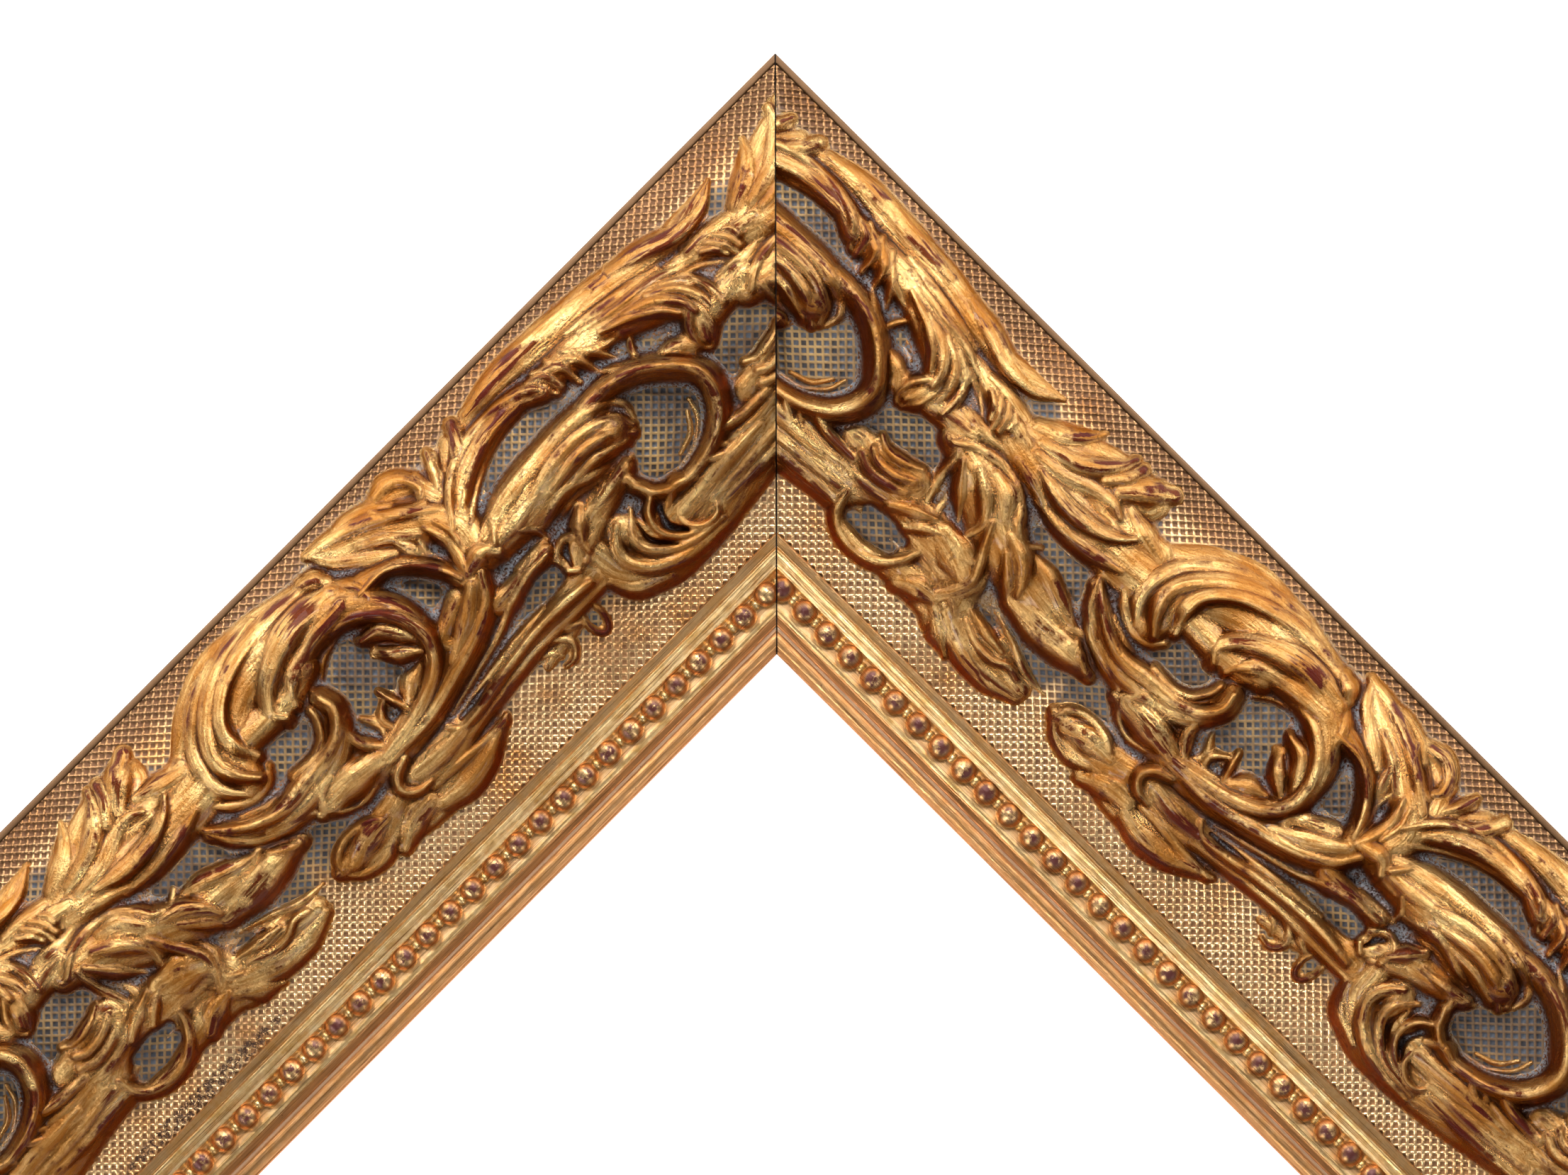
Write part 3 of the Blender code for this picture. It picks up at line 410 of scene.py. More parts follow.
def great_scroll(c):
    """Flutes and rims of the great scroll, and the spoon-shaped lobes it starts from."""
    c.leaf([(80, 7.2), (72, 10.5), (66, 15.5), (63, 21.5), (63.3, 27.5), (66.6, 32)],
           [1.2, 2, 1.9, 1.7, 1.6, 1], [0.6, 0.9, 1.2, 1.4, 1.5, 1.2], skew=-0.2)
    c.leaf([(92, 6.8), (82, 8.4), (74, 12.4), (68.7, 17.5), (66.4, 22.5), (67.8, 27.5), (70.6, 31)],
           [1, 1.8, 2.2, 2.2, 2, 1.9, 1], [0.2, 0.9, 1.6, 2.2, 2.5, 2.4, 1.6], skew=-0.2)
    c.leaf([(105, 9.6), (95, 8.8), (85, 10), (77.4, 13), (72.4, 17.8), (71.6, 22.6), (73.4, 27.4)],
           [1, 1.4, 1.7, 1.9, 1.8, 1.8, 1.3], [0.2, 0.8, 1.5, 2.1, 2.4, 2.3, 1.6], skew=-0.35)
    c.leaf([(59.6, 28.4), (62.6, 31.2), (67, 33.3), (71, 32.9), (73.6, 30.4)],
           [0.7, 1.5, 1.6, 1.5, 1.1], [0.6, 1.4, 1.6, 1.6, 1.4])
    c.leaf([(108, 14.4), (99, 13.6), (91, 15.3), (84.8, 18.8), (81.7, 23.2), (83.4, 26.2)],
           [1.6, 2.6, 3, 2.8, 2.1, 1], [0.2, 1.2, 2, 2.2, 2, 1.2], skew=-0.3)
    c.leaf([(108, 17.4), (99, 17.8), (92, 19.8), (88, 23), (86.6, 25.8)],
           [1.4, 2.2, 2.4, 1.9, 0.7], [0.2, 0.8, 1.3, 1.3, 0.8])
    c.leaf([(103.6, 21.4), (98, 22.6), (94.2, 25.4)], [0.6, 1.1, 0.7], [1.2, 1.6, 1])
    c.leaf([(98.6, 20.8), (104.5, 20.2), (109.5, 22), (113.6, 26), (115.8, 31), (115.8, 36), (113, 40),
            (108, 43), (101, 45), (92, 46.2)],
           [0.8, 1.3, 1.7, 1.7, 1.6, 1.5, 1.5, 1.4, 1.2, 0.8], [1, 1.8, 2, 2, 1.9, 1.7, 1.6, 1.4, 1.2, 0.8])
    c.leaf([(105, 8.8), (107.6, 10), (109.4, 12)], [1.2, 1.9, 1], [1.6, 2.3, 1])
    c.leaf([(110, 13.4), (112.5, 17), (113, 20)], [1, 1.4, 1], [0.8, 1.2, 0.6])


def scroll_heart(c):
    """The flower inside the great scroll."""
    c.cut([(103.5, 25.6), (105, 30), (106.6, 35)], [1.4, 2.3, 1.6], [1.6, 2.4, 1.4])
    c.stroke([(105.6, 25.8), (110, 27), (113, 31), (114.6, 35)],
             [0.6, 1.8, 1.9, 0.8], [1, 2, 2, 1.2], lift=[3.4, 3.8, 3.8, 3.6])
    c.stroke([(105.6, 29.6), (109, 33), (113.6, 36.6)],
             [1.4, 1.9, 0.6], [1.4, 2.2, 1.2], lift=[1.6, 2.6, 3.4])
    c.stroke([(104, 42), (107, 39.6), (110.6, 38)], [1.6, 2.2, 0.9], [1.4, 1.9, 1], lift=[2.6, 2.6, 2.4])
    c.stroke([(110, 42), (113, 38.8), (116.6, 35.6)], [0.9, 1.5, 0.8], [1.4, 2, 1.2], lift=[3.4, 3.6, 4])
    c.stroke([(100.6, 35.6), (101.4, 39), (102.8, 43)], [0.5, 0.9, 0.8], [1.4, 2.4, 1.8], lift=[1, 1.4, 2])
    c.stroke([(100, 37.6), (97, 40.4), (97.4, 43.6)], [0.5, 1.1, 0.8], [0.9, 1.6, 1], lift=[0.6, 1, 2])
    c.stroke([(90, 37.4), (90.4, 41), (93.4, 44.6)], [0.8, 1.3, 0.8], [1.4, 2, 1.2], lift=[2.8, 3, 3])
    c.stroke([(94, 37), (96, 41), (94.6, 44.4)], [0.6, 1.2, 1], [0.6, 1, 0.8], lift=[0.4, 0.8, 2])


def cup(c):
    """The cup that carries the scroll."""
    c.leaf([(54.8, 30.8), (59, 34.4), (63.6, 37.4), (69.5, 39.2), (76.5, 38.4), (84, 37.6), (89, 35.4),
            (91.6, 31.6), (91.2, 28)],
           [0.6, 1.1, 1.3, 1.6, 2, 1.7, 1.5, 1.4, 1.1], [0.8, 1.5, 1.6, 1.6, 1.7, 1.5, 1.6, 1.8, 1.6])
    c.leaf([(54.4, 30.4), (57, 36), (61.2, 40), (66.6, 42.2), (73.6, 43.8)],
           [0.6, 1, 1.2, 1.1, 0.6], [0.8, 1.4, 1.5, 1.2, 0.6])
    c.stroke([(75.6, 35.6), (81, 36), (85.2, 34.4), (87.6, 31), (88, 28.4)],
             [0.5, 0.8, 0.8, 0.8, 0.6], [0.8, 1.4, 1.4, 1.4, 1], lift=[2.6, 2.6, 2.6, 2.6, 3])
    c.leaf([(62, 34), (68, 36.3), (74, 36)], [0.5, 0.8, 0.5], [0.4, 0.7, 0.3])
    c.leaf([(64, 40), (72, 41.8), (80, 41)], [0.7, 1.2, 0.7], [0.4, 0.8, 0.4])


def buds(c):
    """Buds, husks and curls below the cup."""
    c.leaf([(77, 44.6), (83, 44.8), (91, 46)], [2.4, 3.4, 1.6], [0.8, 2, 0.7])
    c.leaf([(75.4, 45.2), (77.6, 48), (81.6, 49.7), (86.6, 49)], [0.6, 1, 1.1, 0.6], [1, 1.6, 1.5, 0.8])
    c.leaf([(76, 43.8), (78.4, 41.6), (81, 41.3)], [0.6, 1, 0.6], [0.8, 1.3, 0.6])
    c.leaf([(68, 57.4), (69.8, 54), (74, 52.4), (79, 53), (82.4, 55)],
           [0.7, 1.1, 1.2, 1.1, 0.6], [0.9, 1.6, 1.7, 1.5, 0.8])
    c.leaf([(68.4, 58), (71.6, 60.4), (76.4, 61.2), (80.6, 59.6)],
           [0.7, 1.2, 1.3, 0.8], [0.8, 1.3, 1.3, 0.6])
    c.leaf([(71.4, 57.4), (76, 56), (83, 55.6)], [1.4, 2.6, 0.9], [0.5, 1.4, 0.5])
    c.leaf([(81, 62.6), (86, 60), (91.6, 59.4)], [1.2, 2.8, 2.2], [0.8, 1.8, 1.4])
    c.leaf([(83, 60.4), (87.6, 57.6), (92.2, 58)], [0.6, 0.9, 0.6], [0.8, 1.4, 0.9])
    c.leaf([(93.4, 61.6), (99, 62.4), (105, 61.8), (112, 59.4)], [1.6, 2.4, 2, 0.8], [0.8, 1.5, 1.3, 0.7])
    c.leaf([(94, 57.8), (101, 58), (108, 58.6), (114.6, 58.6)], [0.7, 1.1, 0.9, 0.8], [0.7, 1.2, 0.9, 0.8])
    c.leaf([(94.6, 49.4), (90.8, 50.8), (89.4, 53.6), (91.4, 56), (94.8, 56.6)],
           [0.8, 1.3, 1.4, 1.3, 0.7], [1.6, 2.2, 2.2, 2, 1.2])
    c.leaf([(94, 53.4), (100, 54), (107, 53.8)], [1.4, 2, 1.2], [0.6, 1, 0.5])


def stems(c):
    """Ridges of the double stem, and the curls below it."""
    c.leaf([(92, 47.4), (104, 47), (115, 44.4), (124, 41.6), (130, 38.4), (133.4, 33.6)],
           [0.7, 1.3, 1.5, 1.6, 1.6, 1.1], [0.6, 1.2, 1.4, 1.6, 1.8, 1.4])
    c.leaf([(116, 42.6), (124, 38.4), (130, 34)], [0.8, 2, 1.2], [0.6, 1.2, 0.8])
    c.leaf([(108, 49.8), (118, 47.4), (127, 45), (133, 42.4), (139, 40.8), (145.6, 40.4)],
           [0.6, 1.1, 1.3, 1.3, 1.2, 0.8],
           [0.9, 1.6, 1.9, 2, 1.9, 1.4], lift=[0.3, 0.3, 0.3, 0.3, 0.3, 0.3])
    c.leaf([(111, 51.4), (120, 49.6), (130, 48.4), (137, 47.8)], [0.5, 0.9, 1, 0.6], [0.5, 1, 1.2, 0.6])
    c.cut([(108.6, 51.6), (112, 51.3), (118, 50.3)], [0.5, 0.8, 0.4], [1.2, 2, 0.8])
    c.cut([(136.5, 44.6), (140, 44.4), (144.4, 44.6)], [1.6, 2.8, 2.2], [3, 5, 3.6])
    c.leaf([(105.6, 51.6), (108, 53.4), (114, 53), (122, 51.4), (131, 50.2), (140, 50), (147.6, 50.8)],
           [0.7, 1.1, 1.2, 1.2, 1.2, 1.4, 1], [0.9, 1.5, 1.4, 1.4, 1.4, 1.7, 1.2])
    c.leaf([(107, 55.6), (118, 54), (130, 52.8), (142, 53), (150, 53)],
           [0.7, 1, 1.1, 1.1, 0.7], [0.4, 0.8, 0.9, 0.9, 0.5])
    c.stroke([(129.4, 54.8), (131.6, 55.8), (132.4, 57.6)], [0.5, 0.7, 0.5], [1, 1.4, 1])
    c.stroke([(130.6, 53.4), (134.4, 54.4), (136.2, 57), (134.4, 59.6), (131.6, 59.6)],
             [0.6, 0.9, 1, 0.9, 0.6], [1.4, 2, 2, 1.6, 1.2])
    c.stroke([(135.4, 52.8), (138, 54.4), (140, 55.4)], [0.9, 1.3, 0.8], [1.6, 2.2, 1.6])
    c.stroke([(141.6, 54.4), (141, 57.4), (142, 60), (143.8, 60), (145, 57.4), (145, 54)],
             [0.5, 0.7, 0.8, 0.8, 0.7, 0.5], [1.2, 1.5, 1.5, 1.5, 1.5, 1.2])


def spear_leaf(c):
    """Blades and fingers of the spear leaf."""
    c.leaf([(109.6, 4.9), (117, 6.6), (124, 9.4), (130.6, 13.4), (136.4, 17.6)],
           [0.8, 1.5, 1.8, 1.5, 0.8], [1, 1.5, 1.6, 1.6, 1])
    c.leaf([(110.6, 6), (113, 9.8), (118, 13.6), (123.6, 17.6)], [0.8, 2, 2.4, 0.9], [0.8, 1.4, 1.5, 0.9])
    c.leaf([(119, 11.4), (124, 14.2), (129.4, 18.4)], [0.8, 1.3, 0.7], [0.6, 1, 0.6])
    c.leaf([(116, 5.4), (121, 5.6), (126, 7.4), (129.6, 10)], [0.7, 1.1, 1.3, 0.7], [0.8, 1.1, 1.1, 0.6])
    c.leaf([(125.8, 8.2), (127.8, 11.4), (131, 13.6), (135, 14.8)],
           [0.7, 1.1, 1.2, 0.7], [1.1, 1.8, 1.6, 0.8])
    c.leaf([(128.6, 6.6), (132.4, 6.4), (135.4, 8.4), (136.6, 11.6), (135.6, 13)],
           [1, 1.8, 1.7, 1.4, 0.9], [1, 1.5, 1.6, 1.5, 1.1])
    c.leaf([(137.6, 9.4), (138, 12)], [1, 0.7], [1.3, 0.6])
    c.leaf([(139.4, 14.4), (141.4, 11), (142.8, 7.4)], [0.7, 1.1, 0.9], [0.8, 1.6, 1.3])
    c.leaf([(145.6, 13.8), (148.8, 10.6), (150.6, 7)], [1, 1.7, 1.2], [0.8, 1.6, 1.4])
    c.leaf([(143, 13), (147, 9)], [0.7, 1.2], [0.6, 1.1])
    c.leaf([(124.6, 14), (126.2, 18.6), (128.8, 24.4)], [0.7, 1.4, 0.7], [1, 1.8, 1])
    c.leaf([(131.4, 18.4), (133, 22.8), (132.8, 27), (130.9, 32)], [0.6, 1.7, 1.7, 0.6], [1.2, 2.2, 2.2, 1])
    c.leaf([(129, 19), (128.8, 23), (130.2, 28)], [0.5, 0.9, 0.5], [0.8, 1.4, 0.7])
    c.leaf([(134, 19), (135, 23.4), (134, 28)], [0.5, 0.8, 0.5], [0.9, 1.4, 0.8])
    c.leaf([(131.6, 31.6), (136.6, 30.6), (139, 33)], [1.2, 2.2, 0.9], [0.9, 1.9, 0.8])
    c.leaf([(139.8, 31.2), (142.4, 27.8)], [0.8, 1], [1.6, 1.6])
    c.leaf([(112, 18.8), (119, 18.8), (124, 21.8), (127.6, 26.4), (129.6, 31.4)],
           [0.6, 0.9, 1, 1, 0.7], [0.9, 1.4, 1.5, 1.5, 1])


def arched_leaf(c):
    """Ridges and teeth of the arched leaf."""
    c.leaf([(135.6, 23), (140.6, 16.8), (147, 12.8), (154, 11.2), (161, 11.6), (167, 13.6), (170.8, 18.4)],
           [0.7, 1, 1.1, 1.1, 1.2, 1.2, 0.8], [0.9, 1.6, 1.7, 1.7, 1.8, 1.8, 1.2])
    c.leaf([(138.6, 24.8), (145, 20.4), (151, 17.4), (157, 15.6), (163, 14.8)],
           [0.6, 1, 1, 0.9, 0.6], [0.9, 1.5, 1.4, 1.3, 0.6])
    c.leaf([(140, 21), (147, 16.8), (155, 14.4), (164, 14.2)], [0.6, 1, 1, 0.6], [0.5, 0.9, 0.9, 0.5])
    teeth = (((166.5, 12), (171, 14), (172.4, 18)), ((170, 11.8), (174.8, 15), (175.8, 20)),
             ((174, 12.2), (178.4, 16), (180, 21.2)), ((177.6, 12.8), (181.8, 17), (184.6, 21.8)))
    for tooth in teeth:
        c.leaf(list(tooth), [0.6, 1.3, 1.1], [0.8, 1.8, 1.8], skew=-0.3)
    c.leaf([(179, 14), (183, 17.4), (187.4, 18.8)], [0.6, 1.1, 0.6], [0.6, 1.3, 0.6])
    c.leaf([(179.4, 20.4), (183, 23.6), (187, 26)], [0.8, 1.3, 1.1], [1.2, 1.8, 1.6])
    c.leaf([(187.2, 25.6), (188.4, 22.6), (190, 20.4)], [0.9, 1.2, 0.7], [1.4, 1.7, 0.9])


def great_leaf(c):
    """Long flutes of the great leaf."""
    c.leaf([(139, 29), (149, 27), (160, 25.6), (169, 25), (176, 26.6), (179, 29.6), (178.6, 33)],
           [1.2, 2.4, 2.6, 2.4, 2, 1.6, 0.8], [0.6, 1.2, 1.5, 1.7, 1.9, 1.8, 1])
    c.leaf([(152, 30), (162, 28), (170, 28.2), (175.4, 30.6), (177.4, 34)],
           [0.8, 1.5, 1.6, 1.2, 0.7], [0.5, 1.2, 1.6, 1.6, 1])
    c.leaf([(156, 31.8), (165, 30.6), (172, 32), (176.4, 35.4)],
           [0.7, 1.3, 1.4, 0.8], [0.5, 1.3, 1.6, 1])
    c.leaf([(160, 33.6), (167, 33.8), (174, 35.4)], [0.5, 1.1, 0.7], [0.5, 1.4, 0.9])
    c.leaf([(148, 35.6), (157, 33.6), (164, 35.4), (171, 37)], [0.7, 1.2, 1.2, 0.7], [0.5, 1.1, 1.3, 0.9])
    c.leaf([(139, 38.6), (150, 37.8), (158, 35.8), (166, 37.2), (172.6, 38.4)],
           [0.6, 1, 1, 1, 0.6], [0.7, 1, 1.1, 1.1, 0.7])
    c.leaf([(145.4, 33), (147.8, 35.4), (148, 38.4)], [0.7, 1.1, 0.8], [0.9, 1.6, 1.1])
    c.leaf([(140, 31.6), (146, 31.2), (153, 30)], [0.7, 1.4, 0.8], [0.4, 0.8, 0.4])


def lesser_volute(c):
    """The rim and the inside of the lesser volute."""
    c.leaf([(178, 24.4), (185, 26.2), (191, 30.4), (194.8, 35.4), (194.8, 40.6), (191.4, 45.6), (185, 49),
            (177, 50), (171, 47.6), (168.6, 43.4)],
           [0.8, 1.3, 1.5, 1.6, 1.6, 1.5, 1.2, 1, 0.9, 0.8], [0.8, 1.5, 1.8, 2, 2, 1.8, 1.4, 1.2, 1.2, 1])
    c.leaf([(188, 47.2), (194, 48.6), (202, 48.9)], [0.6, 1.2, 1.1], [0.8, 1.5, 1])
    c.leaf([(188.6, 50.2), (196, 51.2), (204, 50.6)], [0.5, 0.8, 0.6], [0.4, 0.8, 0.4])


def lower_scroll(c):
    """The scroll under the great leaf, with its curls."""
    c.leaf([(160, 46.4), (156.6, 50), (156.4, 54), (160, 58.4), (167, 61.4), (177, 62.3)],
           [0.8, 1.5, 1.6, 1.6, 1.3, 0.7], [1, 1.8, 1.8, 1.6, 1.4, 0.7])
    c.leaf([(164.4, 46.2), (161, 50), (161, 54), (164.6, 57.8), (170, 60.2), (177, 61)],
           [0.7, 1.2, 1.3, 1.2, 1.1, 0.6], [1.2, 2, 2, 1.8, 1.6, 0.8])
    c.leaf([(170, 46.8), (166.6, 49.4), (165.6, 53.4), (168.4, 57.6), (172.6, 59.6)],
           [0.7, 1, 1.1, 1, 0.6], [1.4, 1.8, 1.8, 1.7, 1])
    c.cut([(163.4, 49), (163, 53.6), (166.4, 58)], [0.4, 0.7, 0.4], [0.8, 1.6, 0.8])
    c.cut([(169, 50), (167.6, 54), (170, 57.4)], [0.6, 1.1, 0.6], [1.2, 2.4, 1.2])
    c.leaf([(170.6, 51), (174.4, 49.2), (179, 50.6)], [0.8, 1.3, 0.9], [1, 1.7, 1])
    c.leaf([(172, 54.2), (178, 54), (186, 53.2), (196, 52.8)], [1.8, 2.2, 1.7, 1], [0.8, 1.3, 1.2, 0.7])
    c.leaf([(170.4, 54.6), (171, 57.4), (173.6, 59.4), (176.6, 59.4), (178, 58)],
           [0.6, 1, 1.1, 1, 0.6], [1, 1.6, 1.7, 1.5, 0.9])
    c.leaf([(178, 56.6), (190, 56.4), (204, 55)], [0.6, 1, 0.8], [0.4, 0.7, 0.5])
    c.leaf([(180, 58.8), (192, 58.6), (205, 57.6)], [0.6, 1, 0.8], [0.4, 0.7, 0.5])
    c.leaf([(182, 49.2), (184.6, 51), (187.8, 52.4)], [0.6, 0.9, 0.5], [1, 1.5, 0.8])
    c.leaf([(186, 48.6), (188.4, 50.6)], [0.7, 0.7], [0.9, 0.8])
    c.leaf([(148, 47.4), (145.7, 45), (147, 42), (150, 40.4), (152.6, 42.4), (152.4, 46)],
           [0.8, 0.9, 1, 1, 1, 0.9], [1.4, 1.9, 2, 2, 1.9, 1.5])
    c.cut([(147.6, 45.6), (148.6, 43), (150, 42)], [0.5, 0.8, 0.4], [1.6, 2.4, 1.2])
    c.leaf([(152.6, 43.8), (155, 40.8), (157.4, 38.2)], [1, 1.8, 1.2], [1.2, 2, 1.5])
    c.leaf([(150.6, 47), (153.6, 45.4), (158, 43.6)], [0.6, 1.1, 0.7], [0.6, 1, 0.5])
    c.leaf([(151, 53.6), (154, 58.4), (161, 61.8)], [0.8, 1.4, 0.8], [0.5, 0.9, 0.5])
    c.leaf([(159.6, 40.6), (165, 40), (170.6, 38.8)], [0.6, 1.2, 0.8], [0.6, 1.2, 0.9])


def outer_swath(c):
    """The long outer leaf, and the leaf that hangs from it."""
    c.leaf([(154, 7.6), (165, 6.6), (178, 7.2), (190, 8)], [0.8, 1.7, 1.8, 1], [0.4, 0.8, 0.8, 0.4])
    c.leaf([(181, 10.8), (190, 12.2), (199, 13.6), (204, 14.6)], [0.6, 1.1, 1.1, 0.6], [0.8, 1.3, 1.2, 0.6])
    c.leaf([(183, 12.6), (192, 14.4), (201.6, 15.6), (208, 18)], [0.5, 0.8, 0.9, 0.6], [0.6, 1, 1.1, 0.7])
    c.leaf([(196, 8), (204, 10), (212, 12.4), (219, 12), (224.6, 9)],
           [0.8, 1.8, 1.9, 1.6, 0.5], [0.5, 1.1, 1.1, 1.1, 0.6], skew=0.3)
    c.leaf([(186, 15.6), (193, 18.2), (198, 21.4), (200.6, 24.6)],
           [0.6, 1.2, 1.3, 0.8], [0.8, 1.5, 1.6, 1.2])
    c.leaf([(192, 16.4), (198.6, 19), (202.4, 23), (203.2, 26.6)],
           [0.6, 1.2, 1.4, 0.8], [0.8, 1.5, 1.7, 1.2])
    c.leaf([(198, 17), (203.4, 20), (206, 24.4), (206.2, 28)], [0.6, 1.1, 1.2, 0.8], [0.8, 1.4, 1.5, 1])
    c.leaf([(202, 17.4), (207, 20.6), (208.8, 25), (208.8, 29.4)], [0.5, 1, 1.1, 0.8], [0.7, 1.3, 1.4, 1])
    c.leaf([(202, 25.8), (199.6, 29), (199, 32.6), (200.2, 34.2)], [0.7, 1, 0.9, 0.7], [1, 1.7, 1.5, 1.1])
    c.leaf([(204.6, 27.6), (203.8, 31), (201.4, 34)], [0.6, 0.9, 0.7], [0.8, 1.4, 1.1])
    c.leaf([(190, 27.6), (196, 29.4), (198.6, 32)], [0.8, 1.5, 0.7], [0.5, 1, 0.5])
    c.leaf([(206, 18.6), (212, 21.4), (217, 25.2)], [0.5, 0.9, 0.5], [0.8, 1.2, 0.8])
    c.leaf([(210, 25.4), (216, 26.2), (222, 26)], [0.7, 1.2, 0.6], [0.6, 1, 0.4])


def gesso(c):
    """What the coats of gesso do to the carving: grooves half filled, floors and feet run together."""
    grooves, windows = 1.6, 2.6
    filled = swell(swell(c.height, grooves, np.maximum), grooves, np.minimum)
    body = np.clip(blur(np.maximum(c.bed, 0), 1.0) / 2.2, 0, 1)
    c.height += 0.45 * body * blur(filled - c.height, 0.25)
    # Fine ridges that the carver's tool left along each lobe
    flutes = (np.cos(c.across * 4.9 + c.tint * 40)
              + 0.6 * np.cos(c.across * 7.7 - c.along * 0.13 + c.tint * 70))
    c.height += 0.035 * flutes * np.clip(c.height - 1.5, 0, 1)
    # A low floor closes the narrow gaps among the leaves, but not the windows between the scrolls
    floor = swell(swell(c.height, windows, np.maximum), windows, np.minimum)
    among = np.clip((blur((c.bed > 0.3).astype(float), 3.5) - 0.55) / 0.2, 0, 1)
    c.height = merge(c.height, np.minimum(blur(floor, 0.6), 0.9) - 1.5 * (1 - among), 0.5)
    # A soft foot all round, then the hollows
    c.height = merge(c.height, blur(np.maximum(c.height, -0.4), 1.0) - 0.5, 0.4) - c.deep
    c.height = blur(c.height, 0.2)


def finish_maps(c):
    """Soft maps from 0 to 1: painted shade with some glaze, rubbed leaf, and grime with painted shade."""
    solid = np.maximum(c.height, 0.0)
    body = np.clip(solid / 1.2, 0, 1)
    inward, onward = np.gradient(blur(c.height, 0.3), CELL)
    # Painted shade: the slopes that face the inner side, and the creases, where some glaze pools too, are
    # mapped to be painted darker
    c.side = np.clip((np.hypot(inward, onward) * 0.35 - inward * 0.65 - 0.35) / 0.8, 0, 1) * body
    c.crease = np.clip(np.maximum((blur(solid, 0.9) - solid) / 0.4, (blur(solid, 2.2) - solid - 0.3) / 1.4),
                       0, 1) * body
    c.crest = np.clip((solid - blur(solid, 1.6)) / 0.3, 0, 1)
    c.foot = np.clip(blur(solid, 0.9) / 0.45, 0, 1)
    c.web = np.clip((blur(solid, 2.4) - solid - 0.8) / 1.0, 0, 1) * np.clip((3.2 - solid) / 1.6, 0, 1)
    # The ground that has ornament on both its sides: it keeps its grime, and is painted darker as shade
    raised = (c.height > 0.3).astype(float)
    closed = np.maximum.accumulate(raised, 0) * np.maximum.accumulate(raised[::-1], 0)[::-1]
    closed = np.clip((blur(closed, 2.2) - 0.35) / 0.5, 0, 1)
    around = np.maximum((blur(raised, 4.5) - 0.2) / 0.2, closed * 0.85)
    c.shelter = np.clip(np.maximum(blur(solid, 0.9) / 1.2, around), 0, 1) * (0.2 + 0.8 * closed)


def carve_repeat():
    """The whole repeat, and the soft maps of it that tell the finish where creases and crests are."""
    c = Carving()
    for lay in (outer_swath_masses, frond_masses, great_scroll_masses, lower_masses, stem_masses,
                spear_masses, lesser_scroll_masses):
        lay(c)
    c.settle()
    for lay in (frond_leaves, paw, inner_ridge, claws, hollow_eye, petals, great_scroll, scroll_heart,
                cup, buds, stems, spear_leaf, arched_leaf, great_leaf, lesser_volute, lower_scroll,
                outer_swath, gesso, floor_lines, finish_maps):
        lay(c)
    return c


def floor_lines(c):
    """Low rings on the floor of the lesser volute."""
    c.soft, c.keen = 0.2, 0.2
    for path in ([(189.4, 38.4), (188, 42.4), (184, 45.8), (178.6, 47)],
                 [(187.4, 40), (184.6, 43.6), (180, 45.2)], [(190.4, 41), (187.6, 45), (183, 47.4)]):
        c.stroke(path, [0.35, 0.6, 0.35], [0.5, 0.8, 0.5], wall=1.4)


def read(field, u, v, nearest=False):
    """The field at the places u, v, blended between its cells or taken from the nearest one."""
    x = np.mod(u, REPEAT) / CELL
    y = np.clip(v / CELL, 0, field.shape[0] - 1.001)
    if nearest:
        return field[np.round(y).astype(int), np.round(x).astype(int) % field.shape[1]]
    i, j = np.floor(x).astype(int), np.floor(y).astype(int)
    x, y = x - i, y - j
    right, i = (i + 1) % field.shape[1], i % field.shape[1]
    top = field[j, i] * (1 - x) + field[j, right] * x
    bottom = field[j + 1, i] * (1 - x) + field[j + 1, right] * x
    return top * (1 - y) + bottom * y


def cushion_height(v):
    """Height of the plain cushion over the back."""
    rise = CUSHION_CREST - OUTER_EDGE_HEIGHT
    outer = OUTER_EDGE_HEIGHT + rise * np.sin(0.5 * math.pi * np.clip(v / CUSHION_CREST_AT, 0, 1))
    fall = np.clip((v - CUSHION_CREST_AT) / (CUSHION_END - CUSHION_CREST_AT), 0, 1)
    inner = CUSHION_FOOT + (CUSHION_CREST - CUSHION_FOOT) * (0.5 + 0.5 * np.cos(math.pi * fall))
    return np.where(v < CUSHION_CREST_AT, outer, inner)


# The sight edge as a section, inward and up: flat, bright ridge, cove, channel of the beads, flat,
# groove, rounded lip, then down its front and back under it to the rabbet
SIGHT_SECTION = (
    (70.8, 16.35), (71.0, 16.9), (72.0, 16.95), (72.95, 16.9), (73.1, 17.35), (73.4, 17.75), (73.8, 17.75),
    (74.2, 17.5), (74.8, 17.0), (75.4, 16.5), (75.7, 16.35), (76.0, 16.3), (76.3, 16.0), (76.7, 15.4),
    (77.3, 14.9), (78.5, 14.7), (80.0, 14.8), (81.0, 15.1), (81.8, 15.6), (82.3, 15.75), (83.0, 15.6),
    (83.2, 15.3), (83.9, 15.25), (84.6, 15.3), (84.8, 14.95), (85.1, 14.85), (85.4, 14.95), (85.6, 15.5),
    (86.2, 16.0), (86.9, 16.2), (87.6, 16.1), (88.2, 15.6), (88.5, 15.2), (88.8, 15.0), (89.0, 14.6),
    (89.0, 12.5), (89.0, 10.0), (88.9, 10.0), (82.0, 10.0),
)


def fine_section(points, step):
    """The section with points every step, its corners kept."""
    p = np.array(points, float)
    out = [p[:1]]
    for a, b in zip(p, p[1:]):
        n = max(1, int(np.ceil(np.hypot(*(b - a)) / step)))
        out.append(a + (b - a) * (np.arange(1, n + 1) / n)[:, None])
    return np.vstack(out)


def sight_height(v):
    """Height of the sight edge's upper side."""
    top = [point for point in SIGHT_SECTION if point[1] > 14.2]
    at, height = zip(*top)
    return np.interp(v, at, height)


